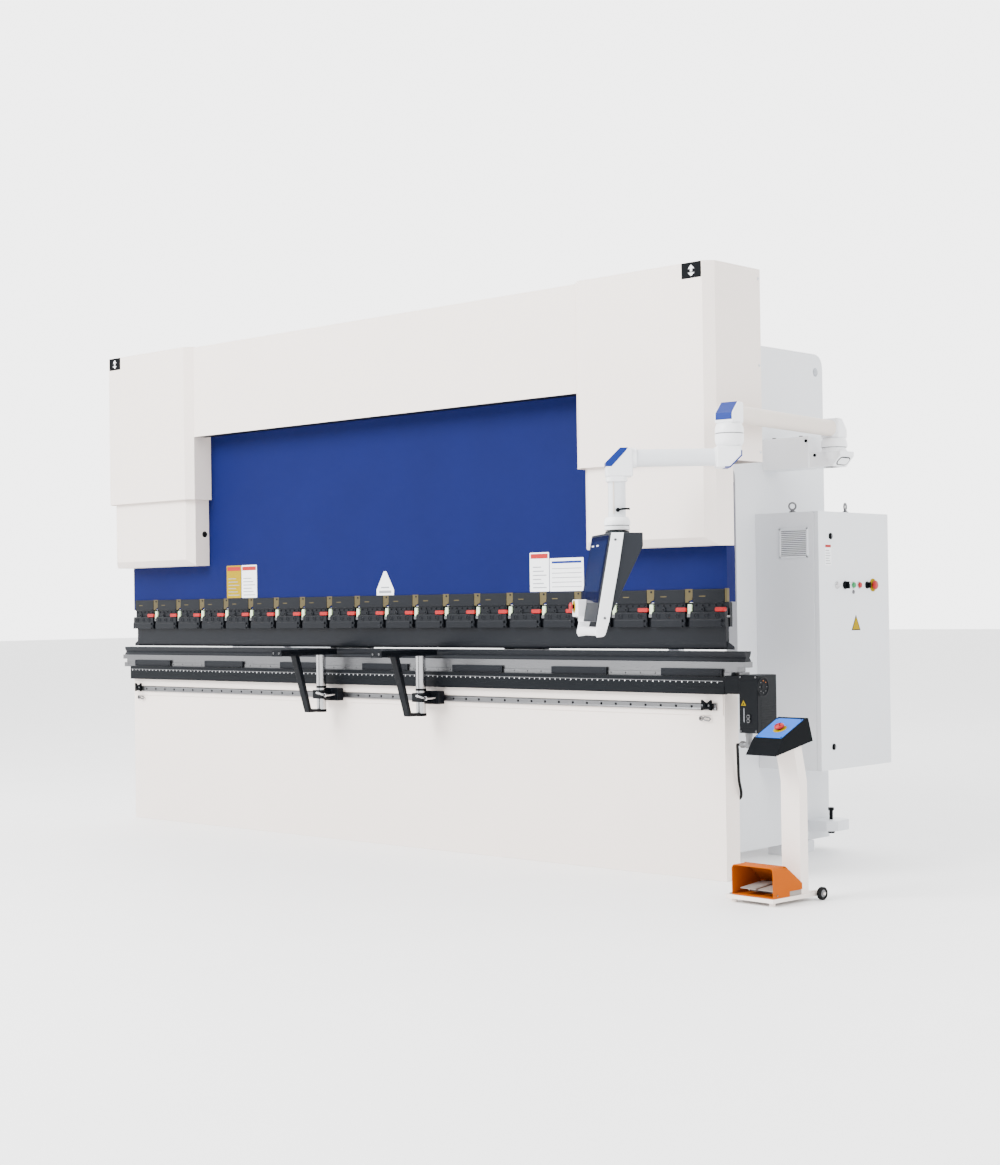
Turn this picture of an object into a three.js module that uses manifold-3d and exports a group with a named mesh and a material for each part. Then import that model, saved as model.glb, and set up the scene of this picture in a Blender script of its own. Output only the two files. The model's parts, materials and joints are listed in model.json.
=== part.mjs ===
// Hydraulic press brake, four metres long, for bending sheet metal.
// Millimetres, +X to the operator's right, +Y away from the operator, +Z up.
// The origin is on the floor, midway along the machine, under the bend line.
import * as THREE from "three";
import { mergeVertices } from "three/addons/utils/BufferGeometryUtils.js";
import Module from "manifold-3d";

const wasm = await Module();
wasm.setup();

// Driving dimensions.
const GAP = 0.3; // clearance between touching pieces
const BED = { halfLength: 1983.5, front: -32, back: 62, top: 823 };
const STRIP = { halfLength: 1978, front: -36, bottom: 670, top: 757 };
const RAM = { halfLength: 1995, front: -20, back: 40, bottom: 1131.5, shoulder: 1620, top: 2130 };
const RAM_NECK = 1450; // half width of the raised middle of the ram
const STROKE = 200; // full travel of the ram
const FRAME = { inner: 1655, outer: 1715, front: 112, back: 1137, bottom: 49, top: 2262 };
const THROAT = { depth: 440, low: 870, high: 1720, radius: 60 };
const COVER = { left: 1307, right: 2040, front: -166, back: 180, bottom: 1704, top: 2499 };
const CORNER = { across: 40, deep: 33 }; // bevelled front corners of the cylinder covers
const LOWER_COVER = { left: 1332, right: 2017, front: -143, back: 5, bottom: 1360, lip: 1392, top: 1770 };
const SHEET = 3; // thickness of the sheet-metal covers
const FASCIA = { front: -133, back: -60, bottom: 2028, top: 2495 };
const CYLINDER = { x: 1673, y: 10, radius: 92, bottom: 1860, top: 2400 };
const ROD = { radius: 55, top: 2010 };
const CLAMP_ROW = { count: 20, pitch: 200, shift: 5 };
const CLAMP = { width: 165, front: -35, back: 30, bottom: 1030, shelf: 1095 };
const CLAMP_HEAD = { neck: -22, front: -26, bottom: 1126, top: 1184.5 }; // the block before the ram
const PUNCH = { halfLength: 1980, hornEnd: 2013, front: -9, back: 11, tip: 937, top: 1070 };
const DIE = { halfLength: 2079, front: -23, back: 22, bottom: 888.5, waist: 904, top: 931 };
const DIE_RAIL = { halfLength: 2085, front: -31, back: 24, bottom: 847.3, top: 888.2 };
const CROWN = { halfLength: 2070, front: -33, blockFront: -42, blockBottom: 828.5, blockTop: 861 };
const CROWN_BLOCK = { count: 7, pitch: 605, width: 312 };
const FRONT_BEAM = { left: -1980, right: 2005, front: -60, back: -42.5, bottom: 757.3, top: 828 };
const GUIDE_RAIL = { halfLength: 1951, front: -48, bottom: 691, top: 720 };
const DRIVE_UNIT = { left: 2076.6, right: 2166, front: -60, back: 72, bottom: 606, top: 838 };
const CABINET = { left: 1715.3, right: 2015, front: 585, back: 1148, bottom: 403, top: 1515 };
const DOOR = { inner: 2020, outer: 2040, skin: 3, rim: 25 };
const CONTROLS_Z = 1198; // height of the row of door controls
const SUPPORT_X = [-355, 331]; // places of the two sheet supports along the machine
const SUPPORT_POST = { y: -120, radius: 25, bottom: 625 };
const SUPPORT_BAR = { front: -402, back: -45, halfWidth: 35, bottom: 901, top: 931 };
const ARM_ROOT = { x: 2052, y: 700 };
const ARM_ELBOW = { x: 2154, y: -209 };
const ARM_HANG = { x: 1831, y: -515 };
const ARM_SEAM = 1790; // height of the swivel seams at both ends of the upper tube
const UPPER_TUBE_Z = 1872;
const LOWER_TUBE_Z = 1699;
const TUBE = 68; // side of the square suspension tubes
const SWIVEL_RADIUS = 50;
const PENDANT = { turn: -37.3, halfWidth: 160, top: 1402, bottom: 1061 };
const STAND = { x: 2398.5, y: -318.5, turn: -4 };
const GUIDE = { x: 1410, back: 900, bottom: 700, top: 780 };
const GAUGE_BEAM = { halfLength: 1370, front: 430, back: 500, bottom: 850, top: 915 };
const BUTTON_PLAY = 6; // how far a push button can travel

// Geometry helpers: every shape is a closed three.js geometry.
function solidOf(geometry) {
  const bare = geometry.index ? geometry.toNonIndexed() : geometry.clone();
  bare.deleteAttribute("normal");
  bare.deleteAttribute("uv");
  const merged = mergeVertices(bare, 1e-3);
  const vertProperties = new Float32Array(merged.attributes.position.array);
  const triVerts = new Uint32Array(merged.index.array);
  return new wasm.Manifold(new wasm.Mesh({ numProp: 3, vertProperties, triVerts }));
}

function geometryOf(solid) {
  const mesh = solid.getMesh();
  const geometry = new THREE.BufferGeometry();
  geometry.setAttribute("position", new THREE.BufferAttribute(mesh.vertProperties, 3));
  geometry.setIndex(new THREE.BufferAttribute(mesh.triVerts, 1));
  return geometry;
}

function join(...geometries) {
  return geometryOf(geometries.map(solidOf).reduce((all, next) => all.add(next)));
}

function cut(body, ...tools) {
  return geometryOf(tools.map(solidOf).reduce((rest, tool) => rest.subtract(tool), solidOf(body)));
}

function block(x0, x1, y0, y1, z0, z1) {
  const box = new THREE.BoxGeometry(x1 - x0, y1 - y0, z1 - z0);
  return box.translate((x0 + x1) / 2, (y0 + y1) / 2, (z0 + z1) / 2);
}

function outline(points) {
  return new THREE.Shape(points.map(([a, b]) => new THREE.Vector2(a, b)));
}

function prism(shape, length, axes, shift) {
  const body = new THREE.ExtrudeGeometry(shape, { depth: length, bevelEnabled: false, curveSegments: 6 });
  body.applyMatrix4(new THREE.Matrix4().makeBasis(...axes.map((a) => new THREE.Vector3(...a))));
  return body.translate(...shift);
}

// An outline in the YZ plane, extruded from x0 to x1.
function alongX(shape, x0, x1) {
  return prism(shape, x1 - x0, [[0, 1, 0], [0, 0, 1], [1, 0, 0]], [x0, 0, 0]);
}

// An outline in the XZ plane, extruded from y0 to y1.
function alongY(shape, y0, y1) {
  return prism(shape, y1 - y0, [[1, 0, 0], [0, 0, 1], [0, -1, 0]], [0, y1, 0]);
}

// An outline in the XY plane, extruded from z0 to z1.
function alongZ(shape, z0, z1) {
  return prism(shape, z1 - z0, [[1, 0, 0], [0, 1, 0], [0, 0, 1]], [0, 0, z0]);
}

function rodX(radius, x0, x1, y, z, sides = 24) {
  const rod = new THREE.CylinderGeometry(radius, radius, x1 - x0, sides).rotateZ(-Math.PI / 2);
  return rod.translate((x0 + x1) / 2, y, z);
}

function rodY(radius, y0, y1, x, z, sides = 24) {
  return new THREE.CylinderGeometry(radius, radius, y1 - y0, sides).translate(x, (y0 + y1) / 2, z);
}

function rodZ(radius, z0, z1, x, y, sides = 24) {
  const rod = new THREE.CylinderGeometry(radius, radius, z1 - z0, sides).rotateX(Math.PI / 2);
  return rod.translate(x, y, (z0 + z1) / 2);
}

function material(color, roughness, metalness) {
  return new THREE.MeshStandardMaterial({ color, roughness, metalness });
}

const WHITE = material(0xe9e4df, 0.45, 0);
const GREY_PAINT = material(0xd3d6da, 0.45, 0);
const BLUE = material(0x34488f, 0.4, 0);
const TOOL_BLACK = material(0x262c33, 0.4, 0.6);
const STEEL = material(0x9a9c9e, 0.3, 1);
const CHROME = material(0xc8cacc, 0.12, 1);
const BLACK = material(0x1b1e22, 0.5, 0.1);
const DARK_GREY = material(0x45484c, 0.5, 0);
const ORANGE = material(0xe0812c, 0.45, 0);
const RED = material(0xc0232b, 0.35, 0);
const RUBBER = material(0x202224, 0.9, 0);
const PEDAL_GREY = material(0x8a817c, 0.5, 0.2);

const machine = new THREE.Group();

function add(name, geometry, look, parent = machine) {
  const mesh = new THREE.Mesh(geometry, look.clone());
  mesh.name = name;
  parent.add(mesh);
}

function mirrored(side, a, b) {
  return side < 0 ? [-b, -a] : [a, b];
}

const SIDES = [["left", -1], ["right", 1]];

// Side frame: a thick C-shaped plate with two pads, a lifting hole and a jacking lug.
const JACK = { x: 1785, y: 1045, shankRadius: 9 };
const CABLE_BOSS = { x: 1745, y: 112, z: 322 };

function sideFrame(side) {
  const { inner, outer, back, bottom, top } = FRAME;
  const front = BED.back + GAP;
  const plate = new THREE.Shape();
  plate.moveTo(front, bottom);
  plate.lineTo(back, bottom);
  plate.lineTo(back, top - 70);
  plate.quadraticCurveTo(back, top, back - 70, top);
  plate.lineTo(FRAME.front, top);
  plate.lineTo(FRAME.front, THROAT.high);
  plate.lineTo(THROAT.depth - THROAT.radius, THROAT.high);
  plate.quadraticCurveTo(THROAT.depth, THROAT.high, THROAT.depth, THROAT.high - THROAT.radius);
  plate.lineTo(THROAT.depth, THROAT.low + THROAT.radius);
  plate.quadraticCurveTo(THROAT.depth, THROAT.low, THROAT.depth - THROAT.radius, THROAT.low);
  plate.lineTo(front, THROAT.low);
  const [x0, x1] = mirrored(side, inner, outer);
  const [pad0, pad1] = mirrored(side, inner - 20, outer + 20);
  const lugShape = outline([
    [side * (outer - 5), 960], [side * (outer + 100), 960], [side * (outer + 135), 1000],
    [side * (outer + 135), 1090], [side * (outer + 100), 1130], [side * (outer - 5), 1130],
  ]);
  const pieces = [
    alongX(plate, x0, x1),
    block(pad0, pad1, 120, 300, 0, bottom + 1),
    block(pad0, pad1, 760, 980, 0, bottom + 1),
    alongZ(lugShape, 95, 140),
  ];
  if (side > 0) {
    pieces.push(rodX(16, outer - 5, CABLE_BOSS.x, CABLE_BOSS.y, CABLE_BOSS.z, 16));
  }
  const lift = rodX(20.5, x0 - 5, x1 + 5, 1079, 2179);
  const screwHole = rodZ(JACK.shankRadius + 0.5, 90, 150, side * JACK.x, JACK.y, 16);
  return cut(join(...pieces), lift, screwHole);
}

function jackScrew(side) {
  const shank = rodZ(JACK.shankRadius, 78, 182, side * JACK.x, JACK.y, 16);
  const head = rodZ(18.5, 180, 195, side * JACK.x, JACK.y, 6);
  return join(shank, head);
}

for (const [label, side] of SIDES) {
  add(`side_frame_${label}`, sideFrame(side), GREY_PAINT);
  add(`jack_screw_${label}`, jackScrew(side), BLACK);
}

// Bed, its raised strip, the beam and rail on its front, and the die table on its top.
const bedPlate = block(-BED.halfLength, BED.halfLength, BED.front, BED.back, 0, BED.top);
add("bed_plate", bedPlate, WHITE);

function frontBeam() {
  const { left, right, front, back, bottom, top } = FRONT_BEAM;
  const beam = block(left, right, front, back, bottom, top);
  const ledge = block(left + 30, right - 30, back - 1, BED.front - GAP, bottom, top - 20);
  return cut(join(beam, ledge), block(left - 5, right + 5, front + 5, front + 12, top - 6, top + 5));
}

function beamEndBlock() {
  const { right, front } = FRONT_BEAM;
  const body = block(right + GAP, DRIVE_UNIT.left - GAP, front, CROWN.front - GAP, 761, 834);
  return join(body, rodZ(9, 833, 847, 2040, -47, 16));
}

const GLAND = { x: 2100, y: -30, z: 558, end: 2060 };

function driveUnit() {
  const { left, right, front, back, bottom, top } = DRIVE_UNIT;
  const body = block(left, right, front, back, bottom, top);
  const ring = cut(rodX(41, right - 2, right + 4, -22, 792, 32), rodX(33, right, right + 9, -22, 792, 32));
  const stem = rodZ(15, GLAND.z, bottom + 1, GLAND.x, GLAND.y, 16);
  const elbow = rodX(14, GLAND.end, GLAND.x + 15, GLAND.y, GLAND.z, 16);
  return join(body, ring, stem, elbow);
}

// The cable leaves its gland, hangs beside the end of the bed and enters a boss on the side frame.
function driveCable() {
  const route = new THREE.CatmullRomCurve3([
    new THREE.Vector3(GLAND.end - 1, GLAND.y, GLAND.z),
    new THREE.Vector3(GLAND.end - 16, GLAND.y, GLAND.z - 1),
    new THREE.Vector3(2026, -6, 535),
    new THREE.Vector3(2009, 20, 480),
    new THREE.Vector3(1999, 37, 410),
    new THREE.Vector3(1995, 58, 352),
    new THREE.Vector3(1972, 82, 328),
    new THREE.Vector3(1910, CABLE_BOSS.y, 314),
    new THREE.Vector3(1840, CABLE_BOSS.y, 314),
    new THREE.Vector3(CABLE_BOSS.x + 20, CABLE_BOSS.y, CABLE_BOSS.z),
    new THREE.Vector3(CABLE_BOSS.x + 1, CABLE_BOSS.y, CABLE_BOSS.z),
  ]);
  const section = new THREE.Shape();
  section.absarc(0, 0, 6, 0, Math.PI * 2);
  return new THREE.ExtrudeGeometry(section, { steps: 30, extrudePath: route, curveSegments: 8 });
}

function crowningRail() {
  const { halfLength, front, blockFront, blockBottom, blockTop } = CROWN;
  const table = block(-halfLength, halfLength, front, DIE_RAIL.back, BED.top + GAP, DIE_RAIL.bottom - GAP);
  const pieces = [table];
  for (let k = 0; k < CROWN_BLOCK.count; k += 1) {
    const x = (k - (CROWN_BLOCK.count - 1) / 2) * CROWN_BLOCK.pitch;
    const half = CROWN_BLOCK.width / 2;
    const back = DIE_RAIL.front - GAP;
    pieces.push(block(x - half, x + half, blockFront, back, blockBottom, blockTop));
  }
  return join(...pieces);
}

function dieRail() {
  const { halfLength, front, back, bottom, top } = DIE_RAIL;
  const rail = block(-halfLength, halfLength, front, back, bottom, top);
  const step = (side) => {
    const [x0, x1] = mirrored(side, halfLength - 35, halfLength + 5);
    return block(x0, x1, front - 5, back + 5, bottom - 5, bottom + 18);
  };
  return cut(rail, step(-1), step(1));
}

function vDie() {
  const { halfLength, front, back, bottom, waist, top } = DIE;
  const profile = outline([
    [front, bottom], [back, bottom], [back, bottom + 4], [back - 9, waist], [back, top - 10],
    [back, top], [8, top], [0, top - 9], [-8, top],
    [front, top], [front, top - 10], [front + 9, waist], [front, bottom + 4],
  ]);
  return alongX(profile, -halfLength, halfLength);
}

function guideRail() {
  const { halfLength, front, bottom, top } = GUIDE_RAIL;
  const back = STRIP.front - GAP;
  const profile = outline([
    [back, bottom], [back, top], [front + 4, top],
    [front, top - 4], [front, bottom + 4], [front + 4, bottom],
  ]);
  return alongX(profile, -halfLength, halfLength);
}

const railCarrier = block(
  -STRIP.halfLength, STRIP.halfLength, STRIP.front, BED.front - GAP, STRIP.bottom, STRIP.top,
);
add("rail_carrier", railCarrier, WHITE);
add("front_beam", frontBeam(), BLACK);
add("beam_end_block", beamEndBlock(), BLACK);
add("drive_unit", driveUnit(), BLACK);
add("drive_cable", driveCable(), RUBBER);
add("crowning_rail", crowningRail(), DARK_GREY);
add("die_rail", dieRail(), STEEL);
add("v_die", vDie(), TOOL_BLACK);
add("linear_rail", guideRail(), STEEL);

// Cylinder covers: sheet-metal boxes with bevelled front corners, open below.
function coverOutline(left, right, front, back, inset) {
  const { across, deep } = CORNER;
  const shoulder = inset * 0.45;
  return outline([
    [left + inset, back - inset], [left + inset, front + deep + shoulder],
    [left + across + shoulder, front + inset], [right - across - shoulder, front + inset],
    [right - inset, front + deep + shoulder], [right - inset, back - inset],
  ]);
}

// The ram passes through a slot in the inner side, and the frame plate enters through the back.
function upperCover(side) {
  const { front, back, bottom, top } = COVER;
  const [left, right] = mirrored(side, COVER.left, COVER.right);
  const shell = alongZ(coverOutline(left, right, front, back, 0), bottom, top);
  const hollow = alongZ(coverOutline(left, right, front, back, SHEET), bottom - 5, top - SHEET);
  const [slot0, slot1] = mirrored(side, COVER.left - 5, COVER.left + 10);
  const ramSlot = block(slot0, slot1, RAM.front - 2, RAM.back + 2, bottom - 5, RAM.top + STROKE + 15);
  const [entry0, entry1] = mirrored(side, FRAME.inner - GAP, FRAME.outer + GAP);
  const frameEntry = block(entry0, entry1, back - 10, back + 5, bottom - 5, FRAME.top + GAP);
  return cut(shell, hollow, ramSlot, frameEntry);
}

function lowerCover(side) {
  const { front, back, bottom, lip, top } = LOWER_COVER;
  const [left, right] = mirrored(side, LOWER_COVER.left, LOWER_COVER.right);
  const shell = alongZ(coverOutline(left, right, front, back, 0), bottom, top);
  const bevel = outline([
    [front - 5, bottom - 5], [front + 38, bottom - 5], [front + 38, bottom], [front, lip], [front - 5, lip],
  ]);
  const hollow = alongZ(coverOutline(left, right, front, back + 20, SHEET), lip + 6, top + 5);
  const [ram0, ram1] = mirrored(side, LOWER_COVER.left - 5, RAM.halfLength + 1);
  const ramSpace = block(ram0, ram1, RAM.front - GAP, back + 5, bottom - 5, top + 5);
  return cut(shell, alongX(bevel, left - 5, right + 5), hollow, ramSpace);
}

function hydraulicCylinder(side) {
  const { x, y, radius, bottom, top } = CYLINDER;
  const body = rodZ(radius, bottom, top, side * x, y, 32);
  const [x0, x1] = mirrored(side, FRAME.inner - 40, FRAME.outer + 40);
  const bracket = block(x0, x1, y + 40, FRAME.front - GAP, bottom + 60, bottom + 300);
  const bore = rodZ(ROD.radius + 1, bottom - 5, top - 50, side * x, y, 24);
  return cut(join(body, bracket), bore);
}

for (const [label, side] of SIDES) {
  add(`cylinder_cover_${label}`, upperCover(side), WHITE);
  add(`hydraulic_cylinder_${label}`, hydraulicCylinder(side), DARK_GREY);
}

function centreFascia() {
  const half = COVER.left - GAP;
  const { front, back, bottom, top } = FASCIA;
  const hollow = block(SHEET - half, half - SHEET, front + SHEET, back + 5, bottom - 5, top - SHEET);
  return cut(block(-half, half, front, back, bottom, top), hollow);
}

add("centre_fascia", centreFascia(), WHITE);

// Rear structure and hydraulics.
const TANK = { front: 600, back: 1040, bottom: 1730, top: 2230 };
const CROSSBEAM = { front: 880, back: 1090, bottom: 100, top: 400 };
const FRAME_GAP = FRAME.inner - GAP; // half of the clear distance between the side frames

function rearCrossbeam() {
  const { front, back, bottom, top } = CROSSBEAM;
  const wall = 15;
  const beam = block(-FRAME_GAP, FRAME_GAP, front, back, bottom, top);
  return cut(beam, block(-FRAME_GAP - 5, FRAME_GAP + 5, front - 5, back - wall, bottom + wall, top - wall));
}

function pumpMotor() {
  const axisY = 845;
  const axisZ = TANK.top + 130;
  const motor = rodX(100, -150, 250, axisY, axisZ, 28);
  const foot = block(-120, 220, axisY - 80, axisY + 80, TANK.top + GAP, TANK.top + 70);
  const pump = rodX(60, 249, 400, axisY, axisZ, 20);
  return join(motor, foot, pump);
}

add("oil_tank", block(-FRAME_GAP, FRAME_GAP, TANK.front, TANK.back, TANK.bottom, TANK.top), GREY_PAINT);
add("pump_motor", pumpMotor(), BLUE);
add("rear_crossbeam", rearCrossbeam(), GREY_PAINT);

// Ram with its rods, sliding covers, tool clamps and punch.
function ramPlate() {
  const { halfLength, front, back, bottom, shoulder, top } = RAM;
  const profile = outline([
    [-halfLength, bottom], [halfLength, bottom], [halfLength, shoulder], [RAM_NECK, shoulder],
    [RAM_NECK, top], [-RAM_NECK, top], [-RAM_NECK, shoulder], [-halfLength, shoulder],
  ]);
  return alongY(profile, front, back);
}

function toolClamps() {
  const half = CLAMP.width / 2;
  const top = RAM.bottom - GAP;
  const { front, back, bottom, shelf } = CLAMP;
  const { count, pitch, shift } = CLAMP_ROW;
  const pieces = [block(-PUNCH.halfLength, PUNCH.halfLength, PUNCH.back + GAP, back, bottom, top)];
  for (let k = 0; k < count; k += 1) {
    const x = (k - (count - 1) / 2) * pitch + shift;
    pieces.push(block(x - half, x + half, CLAMP_HEAD.neck, back, PUNCH.top + GAP, top));
    pieces.push(block(x - half, x + half, front, PUNCH.front - GAP, bottom, shelf));
    const head = [CLAMP_HEAD.front, RAM.front - GAP, CLAMP_HEAD.bottom, CLAMP_HEAD.top];
    pieces.push(block(x - half, x + half, ...head));
  }
  return join(...pieces);
}

function punch() {
  const { halfLength, hornEnd, front, back, tip, top } = PUNCH;
  const blade = outline([
    [0, tip], [4, tip + 6], [back, tip + 34], [back, top], [front, top], [front, tip + 34], [-4, tip + 6],
  ]);
  const horn = (side) => {
    const profile = outline([
      [side * (halfLength - 8), tip + 2], [side * hornEnd, tip], [side * hornEnd, tip + 12],
      [side * (halfLength - 8), tip + 40],
    ]);
    return alongY(profile, -3, 3);
  };
  return join(alongX(blade, -halfLength, halfLength), horn(1), horn(-1));
}

add("ram_plate", ramPlate(), BLUE);
add("tool_clamps", toolClamps(), TOOL_BLACK);
add("punch", punch(), TOOL_BLACK);
for (const [label, side] of SIDES) {
  const rod = rodZ(ROD.radius, RAM.shoulder + GAP, ROD.top, side * CYLINDER.x, CYLINDER.y, 24);
  add(`piston_rod_${label}`, rod, CHROME);
  add(`lower_cover_${label}`, lowerCover(side), WHITE);
}

// Back gauge: two guides, a carriage that runs to and fro, a beam that lifts and two stop fingers.
function gaugeGuide(side) {
  const x = side * GUIDE.x;
  return block(x - 30, x + 30, BED.back + GAP, GUIDE.back, GUIDE.bottom, GUIDE.top);
}

function gaugeCarriage() {
  const reach = GUIDE.x + 40;
  const tie = block(-reach, reach, 512, 572, GUIDE.top + GAP, 836);
  const tower = (side) => {
    const x = side * 1320;
    return block(x - 30, x + 30, GAUGE_BEAM.back + GAP, 540, GUIDE.top + 10, 1020);
  };
  return join(tie, tower(-1), tower(1));
}

function gaugeFinger(x) {
  const clamp = block(x - 40, x + 40, 400, GAUGE_BEAM.front - GAP, 860, 940);
  const bar = block(x - 20, x + 20, 205, 401, 918, 936);
  return join(clamp, bar, block(x - 30, x + 30, 190, 206, 915, 945));
}

const gaugeBeam = block(
  -GAUGE_BEAM.halfLength, GAUGE_BEAM.halfLength,
  GAUGE_BEAM.front, GAUGE_BEAM.back, GAUGE_BEAM.bottom, GAUGE_BEAM.top,
);
add("gauge_carriage", gaugeCarriage(), GREY_PAINT);
add("gauge_beam", gaugeBeam, STEEL);
for (const [label, side] of SIDES) {
  add(`backgauge_rail_${label}`, gaugeGuide(side), STEEL);
  add(`gauge_finger_${label}`, gaugeFinger(side * 600), TOOL_BLACK);
}

// Two sheet supports: a carriage on the linear rail, a post with a slotted bar, and a clamp lever.
const SHOE = { before: 60, after: 86, front: -92, bottom: 680, top: 740 };
const JAW_FRONT = -149; // face of the part that holds the post
const LEVER = { x: 70, z: 710, front: -166 };

function supportCarriage(x) {
  const { front, bottom, top } = GUIDE_RAIL;
  const shoe = block(x - SHOE.before, x + SHOE.after, SHOE.front, STRIP.front - 2, SHOE.bottom, SHOE.top);
  const jaw = block(x - 32, x + 40, JAW_FRONT, SHOE.front + 1, 690, 732);
  const channel = block(x - 70, x + 100, front - GAP, STRIP.front + 5, bottom - GAP, top + GAP);
  const bore = rodZ(SUPPORT_POST.radius + 0.6, 670, 745, x, SUPPORT_POST.y, 24);
  return cut(join(shoe, jaw), channel, bore);
}

function supportPost(x) {
  const { y, radius, bottom } = SUPPORT_POST;
  const { front, back, halfWidth } = SUPPORT_BAR;
  const post = rodZ(radius, bottom, SUPPORT_BAR.bottom + 4, x, y, 24);
  const bar = block(x - halfWidth, x + halfWidth, front, back, SUPPORT_BAR.bottom, SUPPORT_BAR.top);
  const slots = [-1, 1].map((side) => {
    const middle = x + side * 14;
    return block(middle - 5, middle + 5, front - 5, back + 5, SUPPORT_BAR.top - 8, SUPPORT_BAR.top + 5);
  });
  const brace = outline([
    [-300, 902], [-272, 902], [-196, 637], [y, 637], [y, bottom], [-206, bottom],
  ]);
  return cut(join(post, bar, alongX(brace, x - 20, x + 20)), ...slots);
}

function supportLever(x) {
  const hub = rodY(9, LEVER.front, SHOE.front - GAP, x + LEVER.x, LEVER.z, 16);
  const handle = block(x + 8, x + LEVER.x, LEVER.front + 1, LEVER.front + 9, LEVER.z - 6, LEVER.z + 6);
  return join(hub, handle);
}

SIDES.forEach(([label], index) => {
  const x = SUPPORT_X[index];
  add(`support_carriage_${label}`, supportCarriage(x), STEEL);
  add(`support_post_${label}`, supportPost(x), BLACK);
  add(`support_lever_${label}`, supportLever(x), CHROME);
});

// Cabinet with its door, main switch and emergency stop.
const DOOR_STOP = { y: 1015, stem: 9, cap: 20 };
const MAIN_SWITCH = { y: 788, stem: 7, dial: 18 };

function cabinetShell() {
  const { left, right, front, back, bottom, top } = CABINET;
  const wall = 4;
  const shell = block(left, right, front, back, bottom, top);
  const inside = block(left + wall, right + 5, front + wall, back - wall, bottom + wall, top - wall);
  return cut(shell, inside);
}

function cabinetDoor() {
  const { front, back, bottom, top } = CABINET;
  const { inner, outer, skin, rim } = DOOR;
  const panel = block(inner, outer, front, back, bottom, top);
  const recess = block(inner - 5, outer - skin, front + rim, back - rim, bottom + rim, top - rim);
  const stopHole = rodX(DOOR_STOP.stem + 0.5, inner, outer + 5, DOOR_STOP.y, CONTROLS_Z, 20);
  const switchHole = rodX(MAIN_SWITCH.stem + 0.5, inner, outer + 5, MAIN_SWITCH.y, CONTROLS_Z, 20);
  return cut(panel, recess, stopHole, switchHole);
}

function doorStopButton() {
  const { y, stem, cap } = DOOR_STOP;
  const face = DOOR.outer + BUTTON_PLAY + 1;
  const shaft = rodX(stem, DOOR.outer - 10, face + 2, y, CONTROLS_Z, 20);
  return join(shaft, rodX(cap, face, face + 14, y, CONTROLS_Z, 28));
}

function mainSwitch() {
  const { y, stem, dial } = MAIN_SWITCH;
  const x = DOOR.outer + GAP;
  const shaft = rodX(stem, DOOR.outer - 10, x + 2, y, CONTROLS_Z, 20);
  const disc = rodX(dial, x, x + 10, y, CONTROLS_Z, 24);
  return join(shaft, disc, block(x + 9, x + 24, y - 5, y + 5, CONTROLS_Z - 16, CONTROLS_Z + 16));
}

add("cabinet_shell", cabinetShell(), GREY_PAINT);
add("cabinet_door", cabinetDoor(), GREY_PAINT);
add("door_estop", doorStopButton(), RED);
add("main_switch", mainSwitch(), BLACK);

// Suspension arm: wall bracket, upper tube, lower tube with its drop, and the control pendant.
const ARM_BRACKET = { front: 650, back: 770, bottom: 1709, top: 1845, end: 1953 };

function armBracket() {
  const { x, y } = ARM_ROOT;
  const { front, back, bottom, top, end } = ARM_BRACKET;
  const nose = outline([
    [end - 5, bottom], [end + 117, bottom], [end + 157, bottom + 44], [end + 157, 1772], [end - 5, 1772],
  ]);
  const box = block(FRAME.outer + GAP, end, front, back, bottom, top);
  const swivel = rodZ(SWIVEL_RADIUS, 1740, ARM_SEAM - GAP, x, y, 32);
  return join(box, alongY(nose, front + 6, back - 6), swivel);
}

function between(a, b) {
  return Math.hypot(b.x - a.x, b.y - a.y);
}

// A square tube from the first upright axis to the second, drawn along local +X from the origin.
function squareTube(from, to, z) {
  const half = TUBE / 2;
  const soft = half - 13;
  const section = outline([
    [-half, z - soft], [-soft, z - half], [soft, z - half], [half, z - soft],
    [half, z + soft], [soft, z + half], [-soft, z + half], [-half, z + soft],
  ]);
  return alongX(section, from, to);
}

// An elbow with one bevelled corner on the side away from the tube, in the local XZ plane.
function elbow(x, toTube, low, high, bevelOnTop) {
  const half = 43;
  const bevel = 34;
  const near = x + toTube * half;
  const far = x - toTube * half;
  const clipped = far + toTube * bevel;
  const points = bevelOnTop
    ? [[far, low], [near, low], [near, high], [clipped, high], [far, high - bevel]]
    : [[clipped, low], [near, low], [near, high], [far, high], [far, low + bevel]];
  return alongY(outline(points), -half, half);
}

function upperArm(reach) {
  const low = ARM_SEAM + GAP;
  const high = UPPER_TUBE_Z + TUBE / 2 + 9;
  const swivel = (x) => rodZ(SWIVEL_RADIUS, low, 1834, x, 0, 32);
  const root = elbow(0, 1, 1830, high, true);
  const tip = elbow(reach, -1, 1830, high, true);
  return join(swivel(0), swivel(reach), root, tip, squareTube(30, reach - 30, UPPER_TUBE_Z));
}

const DROP = { bottom: 1468, collarBottom: 1416.6, collarRadius: 50 };
const ELBOW_BOTTOM = 1625;

function lowerArm(reach) {
  const low = LOWER_TUBE_Z - TUBE / 2 - 9;
  const high = LOWER_TUBE_Z + TUBE / 2 + 4;
  const half = TUBE / 2;
  const swivel = rodZ(SWIVEL_RADIUS, 1738, ARM_SEAM - GAP, 0, 0, 32);
  const heel = elbow(0, 1, low, 1742, false);
  const corner = elbow(reach, -1, ELBOW_BOTTOM, high, true);
  const drop = block(reach - half, reach + half, -half, half, DROP.bottom - 2, ELBOW_BOTTOM + 5);
  const collar = rodZ(DROP.collarRadius, DROP.collarBottom, DROP.bottom, reach, 0, 32);
  return join(swivel, heel, corner, drop, collar, squareTube(30, reach - 30, LOWER_TUBE_Z));
}

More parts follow.
